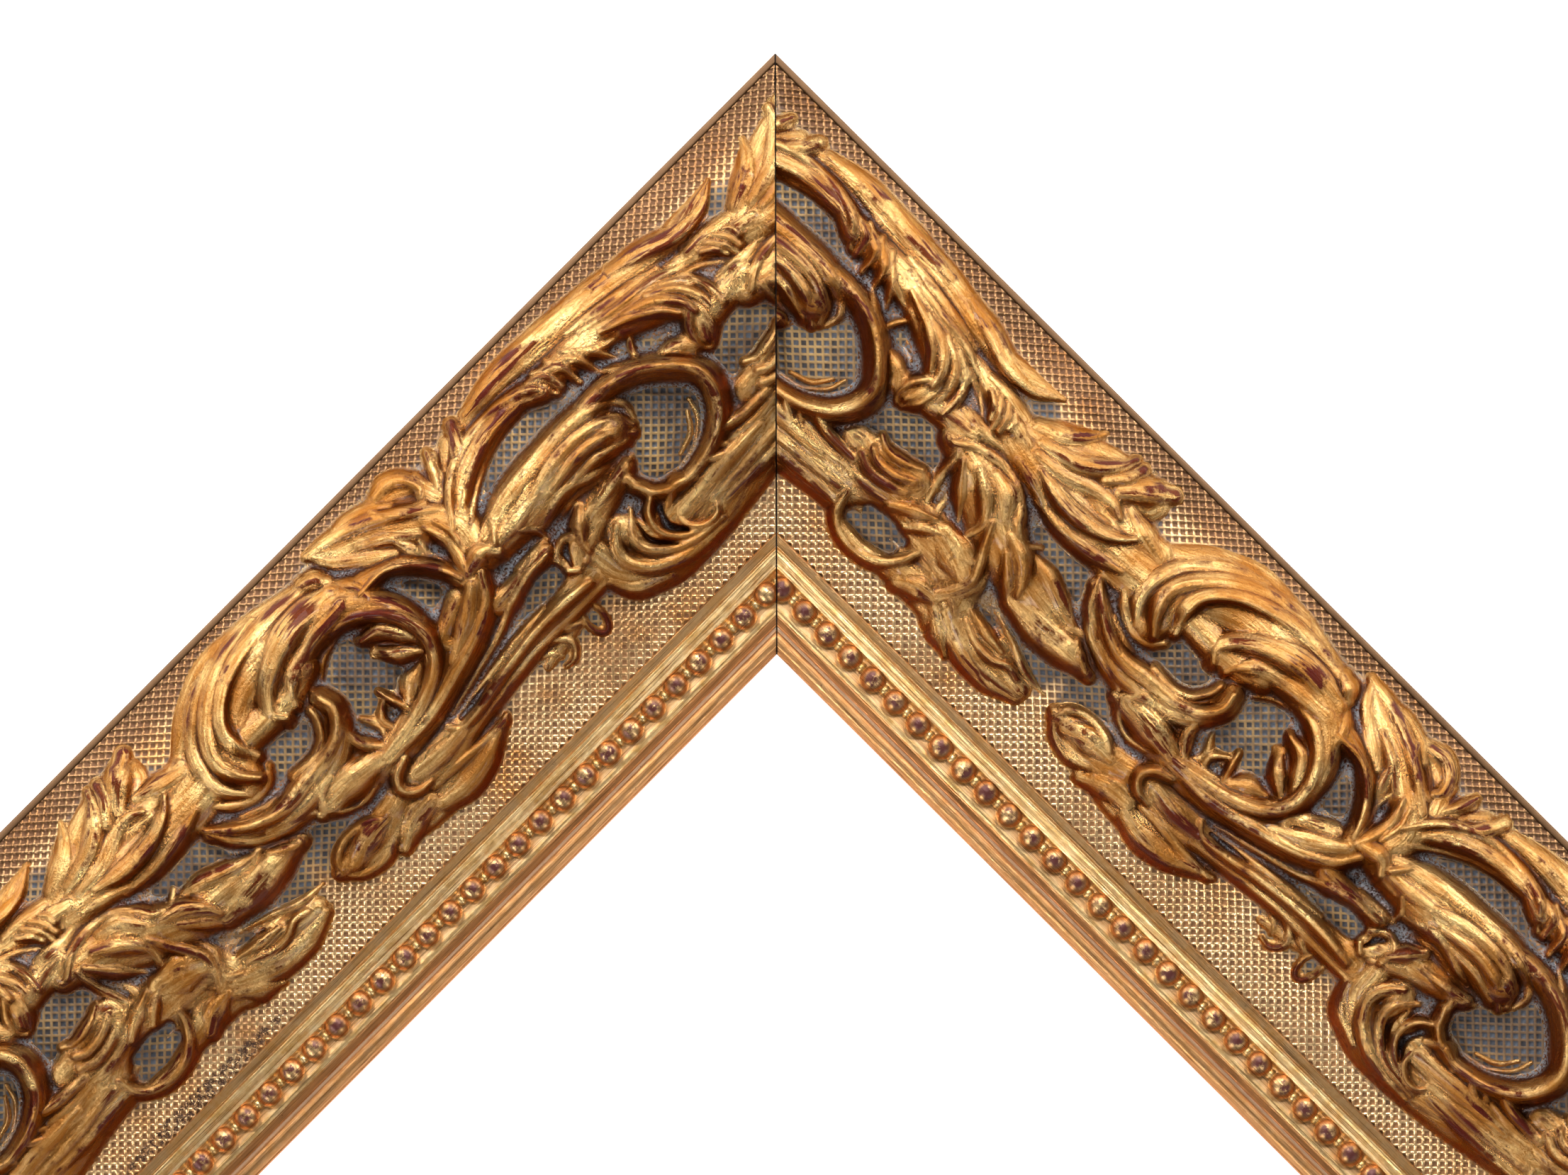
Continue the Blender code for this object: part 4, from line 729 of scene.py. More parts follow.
def face_height(way, phase, carving, t, v):
    """Height of the finished face, ornament and all, at t mm from the corner along a length."""
    ground = np.where(v <= CUSHION_END, cushion_height(v), sight_height(v))
    relief = np.where(v < CUSHION_END, read(carving.height, way * t + phase, v), 0.0)
    return ground + np.maximum(relief, 0.0)


def to_world(way, t, v, z):
    """Rail millimetres to metres in the shared frame: the corner is at -X +Y."""
    half = RAIL_LENGTH / 2
    x, y = (t - half, half - v) if way > 0 else (v - half, half - t)
    return np.stack([x, y, z], axis=1) * MM


def grid_faces(columns, rows):
    """Quads of a grid whose points run row by row."""
    i = np.arange(columns * rows).reshape(rows, columns)
    return np.stack([i[:-1, :-1], i[:-1, 1:], i[1:, 1:], i[1:, :-1]], axis=-1).reshape(-1, 4)


def used_only(keep, faces, *fields):
    """The kept faces, and the fields of the points that they use."""
    faces = faces[keep]
    used, flat = np.unique(faces, return_inverse=True)
    return [flat.reshape(faces.shape)] + [field[used] for field in fields]


def new_object(name, mesh):
    """An object at the origin, in the scene."""
    obj = bpy.data.objects.new(name, mesh)
    bpy.context.scene.collection.objects.link(obj)
    return obj


def store_maps(mesh, maps, grain):
    """The maps and the direction of the grain, as attributes that the materials read."""
    for key, values in maps.items():
        mesh.attributes.new(key, "FLOAT", "POINT").data.foreach_set("value", values.astype(np.float32))
    store = mesh.attributes.new("grain", "FLOAT_VECTOR", "POINT").data
    store.foreach_set("vector", np.stack(grain, axis=1).astype(np.float32).ravel())


def make_mesh(name, points, faces, maps, grain):
    """A smooth mesh that faces up, with its maps."""
    faces = faces[[len(set(face)) > 2 for face in faces.tolist()]]
    a, b, d = points[faces[:, 0]], points[faces[:, 1]], points[faces[:, 2]]
    if np.cross(b - a, d - a)[:, 2].sum() < 0:
        faces = faces[:, ::-1]
    mesh = bpy.data.meshes.new(name)
    mesh.from_pydata(points.tolist(), [], [tuple(dict.fromkeys(face)) for face in faces.tolist()])
    mesh.shade_smooth()
    store_maps(mesh, maps, grain)
    return new_object(name, mesh)


def made_plain(obj):
    """The object's modifiers turned into a plain mesh, and that mesh's points in metres."""
    evaluated = obj.evaluated_get(bpy.context.evaluated_depsgraph_get())
    mesh = bpy.data.meshes.new_from_object(evaluated)
    obj.modifiers.clear()
    obj.data = mesh
    points = np.empty(len(mesh.vertices) * 3)
    mesh.vertices.foreach_get("co", points)
    return mesh, points


def hand_wave(t, v, height):
    """The small unevenness of gesso that was worked by hand."""
    return height * (np.sin(t / 7.3 + v * 0.21) + np.sin(t / 3.1 - v * 0.37 + 1.7) * 0.6
                     + np.sin(t / 17.9 + 0.6) * 0.8)


def thinned(obj):
    """The object with its flat parts in fewer, larger triangles, and still inside its square ends."""
    modifier = obj.modifiers.new("thinned", "DECIMATE")
    modifier.ratio = MOST_TRIANGLES / sum(len(face.vertices) - 2 for face in obj.data.polygons)
    mesh, points = made_plain(obj)
    half = RAIL_LENGTH / 2 * MM
    mesh.vertices.foreach_set("co", np.clip(points, -half, half))
    return obj


def ornament_skin(side, way, phase, carving):
    """The applied ornament: a fine skin wherever the relief stands over the cushion."""
    t = np.arange(0, RAIL_LENGTH + 1.5 * RELIEF_STEP, RELIEF_STEP)
    v = np.arange(2.5, 69.5, RELIEF_STEP)
    t, v = (field.ravel() for field in np.meshgrid(t, v))
    faces = grid_faces(len(np.unique(t)), len(np.unique(v)))
    start = v + HALF_MITRE
    inside = (t >= start) & (t <= RAIL_LENGTH)
    t = np.clip(t, start, RAIL_LENGTH)
    u = way * t + phase
    relief = np.minimum(read(carving.height, u, v), ORNAMENT_TOP - cushion_height(v))
    keep = inside[faces].any(1) & (relief[faces].max(1) > -0.35)
    faces, t, v, u, relief = used_only(keep, faces, t, v, u, relief)
    z = cushion_height(v) + np.maximum(relief, -1.5)
    maps = {key: read(getattr(carving, key), u, v) for key in ("crease", "side", "crest", "web")}
    grain = [read(field, u, v, nearest=True) for field in (carving.along, carving.across, carving.tint)]
    return thinned(make_mesh(side + "_ornament", to_world(way, t, v, z), faces, maps, grain))


def lattice_ground(side, way, phase, carving):
    """The cushion's ground, pressed with a square lattice that runs at 45 degrees to the length."""
    fine = np.linspace(FILLET_WIDTH - 4, CUSHION_END + 4, 2000)
    height = cushion_height(fine)
    developed = np.concatenate([[0], np.cumsum(np.hypot(np.diff(fine), np.diff(height)))])
    reach_w = developed[-1]
    many = int((RAIL_LENGTH + 4 + reach_w) / math.sqrt(2) / LATTICE_PITCH)
    lines = (np.arange(-many, many)[:, None] + LATTICE_LINES).ravel() * LATTICE_PITCH
    p = q = lines
    p = p[p > 0]
    q = q[q > -reach_w / math.sqrt(2) - 3]
    p_kind, q_kind = (np.isin(np.arange(len(lines)) % 4, (0, 1))[-len(k):] for k in (p, q))
    p_cell, q_cell = (np.arange(len(lines))[-len(k):] // 4 for k in (p, q))
    i, j = np.meshgrid(np.arange(len(p)), np.arange(len(q)))
    faces = grid_faces(len(p), len(q))
    p, q = p[i].ravel(), q[j].ravel()
    i, j = i.ravel(), j.ravel()
    ridge = p_kind[i] | q_kind[j]
    cell = p_cell[i] * 12.9898 + q_cell[j] * 78.233
    t, w = (p + q) / math.sqrt(2), (p - q) / math.sqrt(2)
    v = np.interp(w, developed, fine, left=-50, right=200)
    start = v + HALF_MITRE
    inside = (t > start) & (t < RAIL_LENGTH) & (v > FILLET_WIDTH) & (v < CUSHION_END)
    v = np.clip(v, FILLET_WIDTH, CUSHION_END)
    t = np.clip(t, v + HALF_MITRE, RAIL_LENGTH)
    relief = read(carving.height, way * t + phase, v)
    keep = inside[faces].any(1) & (relief[faces].min(1) < 0.25)
    faces, t, v, ridge, cell = used_only(keep, faces, t, v, ridge, cell)
    u = way * t + phase
    chance = np.abs(np.sin(cell) * 43758.5453) % 1.0
    # Grey grime and painted shade in the windows of the ornament
    shelter = read(carving.shelter, u, v)
    foot = read(carving.foot, u, v) * shelter
    press = LATTICE_DEPTH * (0.8 + 0.25 * np.sin(t / 9.0 + v / 6.0) + 0.1 * np.sin(t / 3.7 - v / 5.1))
    press *= 1 - 0.8 * foot
    z = cushion_height(v) - 0.03 - np.where(ridge, 0.0, press * (0.8 + 0.4 * chance))
    maps = {"pit": 1.0 - ridge, "edge": np.clip(1.6 - (v - FILLET_WIDTH) / 8, 0, 1), "shelter": shelter,
            "chance": chance, "foot": foot}
    return make_mesh(side + "_lattice_ground", to_world(way, t, v, z), faces, maps, [t, v, chance])


# How the finish changes across the sight edge: brown glaze, partly painted shade on the flats and
# the lip, with the ridge left bare as a painted highlight; cold grey toning; and no crest that is
# rubbed as those of the beads are
SIGHT_FINISH = {
    "glaze_and_painted_light": ((70.8, 0.7), (71.2, 0.55), (72.8, 0.5), (73.1, 0.3), (73.3, 0.0), (76.0, 0.1), (77.5, 0.55),
               (80.6, 0.6), (81.6, 0.2), (82.8, 0.1), (83.3, 0.9), (84.6, 1.0), (85.5, 0.7), (86.0, 0.7),
               (87.6, 0.7), (88.4, 0.9), (89.0, 1.0)),
    "cold": ((75.2, 0.0), (75.6, 0.3), (75.9, 0.0), (81.0, 0.1), (81.4, 0.3), (81.8, 0.0), (84.7, 0.0),
             (85.0, 0.8), (85.5, 0.2), (85.8, 0.0)),
    "crest": ((70.8, 0.0), (89.0, 0.0)),
}


def sight_edge(side, way):
    """The inner mouldings: flat, ridge, cove, channel, flat and lip, swept along the length."""
    section = fine_section(SIGHT_SECTION, 0.28)
    t = np.arange(0, RAIL_LENGTH + SWEEP_STEP, SWEEP_STEP)
    index = np.arange(len(section))
    t, index = (field.ravel() for field in np.meshgrid(t, index))
    faces = grid_faces(len(np.unique(t)), len(section))
    v, z = section[index, 0], section[index, 1]
    inside = (t >= v + HALF_MITRE) & (t <= RAIL_LENGTH)
    t = np.clip(t, v + HALF_MITRE, RAIL_LENGTH)
    top = z > 10.01
    z = z + np.where(top & (v < RAIL_WIDTH), hand_wave(t, v, 0.03), 0.0)
    faces, t, v, z, index = used_only(inside[faces].any(1), faces, t, v, z, index)
    maps = {key: np.interp(v, *zip(*bands)) for key, bands in SIGHT_FINISH.items()}
    return make_mesh(side + "_sight_edge", to_world(way, t, v, z), faces, maps, [t, v, z])


def shell(name, way, patches):
    """A mesh of grid patches, each given as rows of rail points with its outward side and finish."""
    points, faces, slots, count = [], [], [], 0
    base = to_world(way, np.zeros(1), np.zeros(1), np.zeros(1))
    for rows, outward, slot in patches:
        block = to_world(way, rows[..., 0].ravel(), rows[..., 1].ravel(), rows[..., 2].ravel())
        quads = grid_faces(rows.shape[1], rows.shape[0])
        out = (to_world(way, *np.array(outward, float)[:, None]) - base)[0]
        normals = np.cross(block[quads[:, 1]] - block[quads[:, 0]], block[quads[:, 3]] - block[quads[:, 0]])
        if (normals @ out).sum() < 0:
            quads = quads[:, ::-1]
        points.append(block)
        faces.append(quads + count)
        slots += [slot] * len(quads)
        count += len(block)
    mesh = bpy.data.meshes.new(name)
    mesh.from_pydata(np.vstack(points).tolist(), [], np.vstack(faces).tolist())
    mesh.polygons.foreach_set("material_index", slots)
    bm = bmesh.new()
    bm.from_mesh(mesh)
    bmesh.ops.remove_doubles(bm, verts=bm.verts, dist=1e-6)
    bm.to_mesh(mesh)
    bm.free()
    return new_object(name, mesh)


# The finishes of the stock, in the order of its material slots
WOOD, SAWN, GRIME, PAINT = range(4)

# The outer fillet as a section: up the outer side, over its eased edge, down into the groove
FILLET_SECTION = (
    (0.0, 0.0), (0.0, 6.0), (0.0, 12.0), (0.0, 19.5), (0.05, 19.75), (0.2, 19.95), (0.5, 20.1),
    (0.9, 20.25), (1.2, 20.35), (1.4, 20.3), (1.5, 20.0), (1.68, 19.9),
)


def stock(side, way, phase, carving):
    """The wooden stick: outer side, back and rabbet, and its sawn ends, as high as the face."""
    ledge = RAIL_WIDTH - RABBET_WIDTH
    patches = []
    for low, half in ((0.0, np.linspace(0, ledge, 230)), (RABBET_DEPTH, np.linspace(ledge, RAIL_WIDTH, 26))):
        low = np.full_like(half, low)
        for slot, outward, start in ((SAWN, (1, 0, 0), np.full_like(half, RAIL_LENGTH)),
                                     (GRIME, (-1, 0, 0), half + HALF_MITRE)):
            top = face_height(way, phase, carving, start, half)
            foot = low if slot == SAWN else top - GRIME_HEIGHT
            patches.append((np.stack([np.stack([start, half, z], 1) for z in (top, foot)]), outward, slot))
        edge = np.stack([start, half, foot], 1)
        inner = np.stack([half, half, foot], 1)
        base = np.stack([half, half, low], 1)
        patches.append((np.stack([edge, inner]), (0, 0, 1), GRIME))
        patches.append((np.stack([inner, base]), (-1, 0, 0), SAWN))
    back = np.linspace(0, ledge, 2)
    far = np.full(2, RAIL_LENGTH)
    patches.append((np.stack([np.stack([t, back, back * 0], 1) for t in (back, far)]), (0, 0, -1), WOOD))
    wall = np.array([[[t, ledge, z] for t in (ledge, RAIL_LENGTH)] for z in (0.0, RABBET_DEPTH)])
    patches.append((wall, (0, 1, 0), WOOD))
    t = np.arange(0, RAIL_LENGTH + SWEEP_STEP, SWEEP_STEP)
    rows = []
    for v, z in FILLET_SECTION:
        place = np.clip(t, v + (HALF_MITRE if z > 19.0 else 0.0), RAIL_LENGTH)
        rows.append(np.stack([place, np.full_like(t, v), np.full_like(t, z)], 1))
    patches.append((np.stack(rows), (0, -1, 0.2), PAINT))
    obj = shell(side + "_stock", way, patches)
    for face in obj.data.polygons:
        face.use_smooth = face.material_index == PAINT
    return obj


def bead_tree():
    """Beads in a row with a small link between each two, every bead a little unlike the next."""
    tree = bpy.data.node_groups.new("bead course", "GeometryNodeTree")
    sizes = (("Beads", "NodeSocketInt", 3), ("First bead", "NodeSocketVector", (0, 0, 0)),
             ("Pitch", "NodeSocketVector", (0, 0, 0)), ("Bead radius", "NodeSocketFloat", 1.0),
             ("Link radius", "NodeSocketFloat", 1.0), ("Unevenness", "NodeSocketFloat", 0.03),
             ("Finish", "NodeSocketMaterial", None))
    for name, kind, value in sizes:
        socket = tree.interface.new_socket(name, in_out="INPUT", socket_type=kind)
        if value is not None:
            socket.default_value = value
    tree.interface.new_socket("Geometry", in_out="OUTPUT", socket_type="NodeSocketGeometry")
    given = add(tree, "NodeGroupInput").outputs
    row = add(tree, "GeometryNodeMeshLine",
              {"Count": given["Beads"], "Start Location": given["First bead"], "Offset": given["Pitch"]})
    bead, link = (
        add(tree, "GeometryNodeMeshUVSphere", {"Segments": around, "Rings": rings, "Radius": radius})
        for around, rings, radius in ((18, 12, given["Bead radius"]), (10, 8, given["Link radius"])))
    halfway = add(tree, "ShaderNodeVectorMath", {0: given["Pitch"], 1: (0.5, 0.5, 0.5)}, operation="MULTIPLY")
    link = add(tree, "GeometryNodeTransform",
               {"Geometry": link.outputs[0], "Translation": halfway.outputs[0]})
    pair = add(tree, "GeometryNodeJoinGeometry", {"Geometry": bead.outputs[0]})
    tree.links.new(link.outputs[0], pair.inputs[0])
    least, most = (add(tree, "ShaderNodeMath", {0: 1.0, 1: given["Unevenness"]}, operation=sign)
                   for sign in ("SUBTRACT", "ADD"))
    size = add(tree, "FunctionNodeRandomValue", {2: least.outputs[0], 3: most.outputs[0], "Seed": 4},
               data_type="FLOAT")
    beads = add(tree, "GeometryNodeInstanceOnPoints",
                {"Points": row.outputs[0], "Instance": pair.outputs[0], "Scale": size.outputs[1]})
    real = add(tree, "GeometryNodeRealizeInstances", {"Geometry": beads.outputs[0]})
    done = add(tree, "GeometryNodeSetMaterial", {"Geometry": real.outputs[0], "Material": given["Finish"]})
    add(tree, "NodeGroupOutput", {"Geometry": done.outputs[0]})
    return tree


def bead_course(side, way, one_bead, tree, finish):
    """The beads of a length, cut off at the mitre and at the square end."""
    first = math.ceil((BEAD_LINE - 4 - one_bead) / BEAD_PITCH)
    last = math.floor((RAIL_LENGTH + 3 - one_bead) / BEAD_PITCH)
    places = np.array([first, first + 1]) * BEAD_PITCH + one_bead
    spots = to_world(way, places, np.full(2, BEAD_LINE), np.full(2, BEAD_CENTRE_HEIGHT))
    obj = new_object(side + "_beads", bpy.data.meshes.new(side + "_beads"))
    modifier = obj.modifiers.new("bead course", "NODES")
    modifier.node_group = tree
    values = {"Beads": last - first + 1, "First bead": spots[0], "Pitch": spots[1] - spots[0],
              "Bead radius": BEAD_DIAMETER / 2 * MM, "Link radius": LINK_RADIUS * MM, "Unevenness": 0.03,
              "Finish": finish}
    for item in tree.interface.items_tree:
        if item.in_out == "INPUT":
            value = values[item.name]
            modifier[item.identifier] = value.tolist() if isinstance(value, np.ndarray) else value
    mesh, _ = made_plain(obj)
    bm = bmesh.new()
    bm.from_mesh(mesh)
    base, onward, inward = to_world(way, np.array([0, 1, 0]), np.array([0, 0, 1]), np.zeros(3))
    along = onward - base
    for place, outward in ((HALF_MITRE, inward - onward), (RAIL_LENGTH, along)):
        cut = bmesh.ops.bisect_plane(bm, geom=bm.verts[:] + bm.edges[:] + bm.faces[:],
                                     plane_co=base + along * place, plane_no=outward, clear_outer=True)
        rim = [edge for edge in cut["geom_cut"] if isinstance(edge, bmesh.types.BMEdge)]
        bmesh.ops.holes_fill(bm, edges=rim)
    bm.to_mesh(mesh)
    bm.free()
    mesh.shade_smooth()
    points = np.empty(len(mesh.vertices) * 3)
    mesh.vertices.foreach_get("co", points)
    x, y, z = points.reshape(-1, 3).T / MM
    half = RAIL_LENGTH / 2
    t, v = (x + half, half - y) if way > 0 else (half - y, x + half)
    crest = np.clip((z - 16.75) / 0.3, 0, 1) * (np.abs(v - BEAD_LINE) < 1.3)
    # Bead sides carry more glaze than their tops, partly as painted shade; the crests are rubbed to the clay
    maps = {"crest": crest, "glaze_and_painted_light": np.clip((17.3 - z) / 0.7, 0.3, 1) * (z > 15.8), "cold": z * 0}
    store_maps(mesh, maps, [t, v, z])
    return obj


def linear(code):
    """A colour given as sRGB hex, in linear values."""
    parts = [int(code[i:i + 2], 16) / 255 for i in (1, 3, 5)]
    return tuple(c / 12.92 if c <= 0.04045 else ((c + 0.055) / 1.055) ** 2.4 for c in parts) + (1.0,)


def feed(tree, node, inputs):
    """The node with its inputs: each is a plain value or the output that feeds it."""
    for key, value in inputs.items():
        if isinstance(value, bpy.types.NodeSocket):
            tree.links.new(value, node.inputs[key])
        else:
            node.inputs[key].default_value = value
    return node


def add(tree, kind, inputs=None, **settings):
    """A new node with its settings and its inputs."""
    made = tree.nodes.new(kind)
    for key, value in settings.items():
        setattr(made, key, value)
    return feed(tree, made, inputs or {})


def new_material(name):
    """A material, its node tree and its shader."""
    material = bpy.data.materials.new(name)
    material.use_nodes = True
    tree = material.node_tree
    return material, tree, tree.nodes["Principled BSDF"]


def per_metre(size):
    """How many whole marks of a pattern lie in a metre, from the size of one in millimetres."""
    return round(1000.0 / size)


def gilded_ornament():
    """Water gilding on cast composition: gold leaf on red clay, toned with umber glaze and rubbed back.

    The leaf gives a warm mirror that brush and gesso break into streaks, the inner sides and the creases
    are painted dark brown as shade, with some real glaze in the creases, the crests are rubbed through to
    the purple-brown clay, and the floors between the leaves keep a cold grey toning. Fine cracks run
    through the gesso in places.
    """
    material, tree, shader = new_material("burnished gold leaf on red clay")
    place = add(tree, "ShaderNodeTexCoord").outputs["Object"]
    grain = add(tree, "ShaderNodeAttribute", attribute_name="grain").outputs["Vector"]
    crease, side, crest, web = (add(tree, "ShaderNodeAttribute", attribute_name=key).outputs["Fac"]
                                for key in ("crease", "side", "crest", "web"))
    # Brush lines of 5 by 0.4 mm and wiped streaks of 11 by 1.2 mm, along each lobe. A real bristle
    # leaves lines of 0.2 mm, too fine to show, so they are drawn twice as wide.
    drawn, wiped = (add(tree, "ShaderNodeVectorMath", {0: grain, 1: steps}, operation="MULTIPLY").outputs[0]
                    for steps in ((1 / 5.0, 1 / 0.3846, 37.0), (1 / 11.11, 1 / 1.25, 23.0)))
    # Clouds of toning, patches of wear, grain of the gesso (real 0.1 mm, drawn as 0.6 mm to show) and
    # the bend of the cracks
    streaks, strokes, clouds, rubbed, specks, bent = (
        add(tree, "ShaderNodeTexNoise", {"Vector": at, "Scale": scale, "Detail": detail, "Roughness": rough})
        .outputs for at, scale, detail, rough in (
            (drawn, 1.0, 3.0, 0.5), (wiped, 1.0, 4.0, 0.5), (place, per_metre(14.3), 4.0, 0.5),
            (place, per_metre(22.2), 8.0, 0.68), (place, per_metre(0.5882), 3.0, 0.7),
            (place, per_metre(3.33), 2.0, 0.5)))
    streaks, strokes, clouds, rubbed, specks = (o[0] for o in (streaks, strokes, clouds, rubbed, specks))
    bent = add(tree, "ShaderNodeVectorMath", {0: bent["Color"], 1: (0.003, 0.003, 0.003), 2: place},
               operation="MULTIPLY_ADD").outputs[0]
    cracks = add(tree, "ShaderNodeTexVoronoi", {"Vector": bent, "Scale": per_metre(2.38)},
                 feature="DISTANCE_TO_EDGE").outputs[0]
    # Each share: what it is read from, where that starts and ends, and the share there
    tone, line, mottle, amber, deep_shade_and_glaze, worn, kept, cold, crack, dry = (
        add(tree, "ShaderNodeMapRange", {0: source, 1: start, 2: end, 3: least, 4: most}).outputs[0]
        for source, start, end, least, most in (
            (clouds, 0.38, 0.62, 0.0, 0.8), (streaks, 0.48, 0.68, 0.0, 0.5), (specks, 0.5, 0.7, 0.0, 0.55),
            (strokes, 0.54, 0.42, 0.0, 0.6), (crease, 0.6, 1.0, 0.0, 0.75), (rubbed, 0.47, 0.53, 0.0, 1.0),
            (strokes, 0.45, 0.53, 0.0, 1.0), (specks, 0.62, 0.45, 0.0, 1.0), (cracks, 0.0, 0.03, 0.7, 0.0),
            (rubbed, 0.54, 0.62, 0.0, 1.0)))
    # Painted shade: the slopes that face the inner side and the creases are painted dark brown, with some
    # real glaze in the creases; the deepest creases are painted darker still
    painted_shade_and_glaze = add(tree, "ShaderNodeMath", {0: side, 1: crease}, operation="ADD", use_clamp=True).outputs[0]
    worn = add(tree, "ShaderNodeMath", {0: worn, 1: crest}, operation="MULTIPLY").outputs[0]
    painted_shade_and_glaze, worn, cold, crack = (
        add(tree, "ShaderNodeMath", {0: one, 1: other}, operation="MULTIPLY").outputs[0]
        for one, other in ((painted_shade_and_glaze, 0.93), (worn, kept), (cold, web), (crack, dry)))
    leaf, clay = (add(tree, "ShaderNodeMix", {0: tone, 6: linear(pale), 7: linear(dark)},
                      data_type="RGBA").outputs[2]
                  for pale, dark in (("#F8D48E", "#B4742C"), ("#5E2C14", "#4A1418")))
    colour = leaf
    for share, over in ((line, linear("#9A5A14")), (mottle, linear("#8A5A2A")), (amber, linear("#945818")),
                        (painted_shade_and_glaze, linear("#743C0C")), (deep_shade_and_glaze, linear("#3E1E08")), (worn, clay),
                        (cold, linear("#7A828A")), (crack, linear("#3A2010"))):
        colour = add(tree, "ShaderNodeMix", {0: share, 6: colour, 7: over}, data_type="RGBA").outputs[2]
    dull = add(tree, "ShaderNodeMath", {0: worn, 1: 0.35, 2: cold}, operation="MULTIPLY_ADD").outputs[0]
    metal = add(tree, "ShaderNodeMapRange", {0: dull, 3: 0.92, 4: 0.15}).outputs[0]
    matte = add(tree, "ShaderNodeMath", {0: tone, 1: painted_shade_and_glaze}, operation="SUBTRACT").outputs[0]
    rough = add(tree, "ShaderNodeMapRange", {0: matte, 1: -0.6, 2: 0.8, 3: 0.16, 4: 0.4}).outputs[0]
    marks = add(tree, "ShaderNodeMath", {0: streaks, 1: 0.7, 2: specks}, operation="MULTIPLY_ADD").outputs[0]
    bump = add(tree, "ShaderNodeBump", {"Strength": 0.5, "Distance": 0.5 * MM, "Height": marks}).outputs[0]
    feed(tree, shader, {"Base Color": colour, "Metallic": metal, "Roughness": rough, "Normal": bump,
                        "Specular Tint": linear("#D08A40"), "Coat Weight": 0.1, "Coat Roughness": 0.1,
                        "Coat Tint": linear("#F6CE98")})
    return material


def gilded_lattice():
    """Gold leaf on pressed composition: bright lines round pits that keep brown grime.

    It turns browner towards the outer side. In the windows of the ornament, where no cloth reached,
    the lines are dull and the pits blue-grey: grey grime, painted darker there as shade. Near the end of
    the left length the composition is crushed along the inner edge, which leaves a broken dark line.
    """
    material, tree, shader = new_material("gold leaf on pressed lattice")
    place = add(tree, "ShaderNodeTexCoord").outputs["Object"]
    pit, shelter, chance, edge, foot = (add(tree, "ShaderNodeAttribute", attribute_name=key).outputs["Fac"]
                                        for key in ("pit", "shelter", "chance", "edge", "foot"))
    # Patches of toning, grain of the composition (real 0.1 mm, drawn as 0.5 mm to show), and flakes
    patches, specks, flake = (
        add(tree, "ShaderNodeTexNoise", {"Vector": place, "Scale": per_metre(size), "Detail": detail,
                                         "Roughness": rough}).outputs[0]
        for size, detail, rough in ((14.3, 5.0, 0.6), (0.5263, 2.0, 0.5), (2.38, 5.0, 0.7)))
    crushed = add(tree, "ShaderNodeVectorMath", {0: place, 1: CRUSHED_AT}, operation="SUBTRACT").outputs[0]
    crushed = add(tree, "ShaderNodeVectorMath", {0: crushed, 1: CRUSHED_SHAPE}, operation="MULTIPLY")
    crushed = add(tree, "ShaderNodeVectorMath", {0: crushed.outputs[0]}, operation="LENGTH").outputs["Value"]
    rim = add(tree, "ShaderNodeMath", {0: flake, 1: 0.5}, operation="SUBTRACT").outputs[0]
    rim = add(tree, "ShaderNodeMath", {0: rim}, operation="ABSOLUTE").outputs[0]
    # Browner towards the outer side, and grey near the feet of the ornament
    brown, bare = (add(tree, "ShaderNodeMath", {0: one, 1: other}, operation="MULTIPLY").outputs[0]
                   for one, other in ((edge, 0.88), (foot, patches)))
    # Each share: what it is read from, where that starts and ends, and the share there
    tone, deep, cold, bare, rim, crushed = (
        add(tree, "ShaderNodeMapRange", {0: source, 1: start, 2: end, 3: least, 4: most}).outputs[0]
        for source, start, end, least, most in (
            (patches, 0.45, 0.68, 0.0, 1.0), (pit, 0.1, 0.9, 0.0, 0.92), (shelter, 0.15, 0.7, 0.0, 0.97),
            (bare, 0.4, 0.6, 0.0, 0.7), (rim, 0.03, 0.05, 0.95, 0.0), (crushed, 0.8, 1.05, 1.0, 0.0)))
    crushed = add(tree, "ShaderNodeMath", {0: rim, 1: crushed}, operation="MULTIPLY").outputs[0]
    # In the windows the lines turn dull and the pits dark grey: grey grime, painted darker as shade
    leaf, dirt, lines, pits = (
        add(tree, "ShaderNodeMix", {0: share, 6: linear(one), 7: linear(other)}, data_type="RGBA").outputs[2]
        for share, one, other in ((tone, "#FACE96", "#D49454"), (chance, "#623C1E", "#96683C"),
                                  (tone, "#6E5640", "#BC9A64"), (chance, "#242A32", "#525C68")))
    grey, colour = lines, leaf
    for share, over in ((deep, pits), (bare, linear("#5C646E"))):
        grey = add(tree, "ShaderNodeMix", {0: share, 6: grey, 7: over}, data_type="RGBA").outputs[2]
    for share, over in ((deep, dirt), (brown, linear("#664226")), (cold, grey), (crushed, linear("#3A2214"))):
        colour = add(tree, "ShaderNodeMix", {0: share, 6: colour, 7: over}, data_type="RGBA").outputs[2]
    dull = add(tree, "ShaderNodeMath", {0: deep, 1: cold}, operation="MAXIMUM").outputs[0]
    dull = add(tree, "ShaderNodeMath", {0: dull, 1: crushed}, operation="MAXIMUM").outputs[0]
    metal, rough = (add(tree, "ShaderNodeMapRange", {0: dull, 3: least, 4: most}).outputs[0]
                    for least, most in ((0.9, 0.45), (0.3, 0.6)))
    bump = add(tree, "ShaderNodeBump", {"Strength": 0.5, "Distance": 0.2 * MM, "Height": specks}).outputs[0]
    feed(tree, shader, {"Base Color": colour, "Metallic": metal, "Roughness": rough, "Normal": bump})
    return material


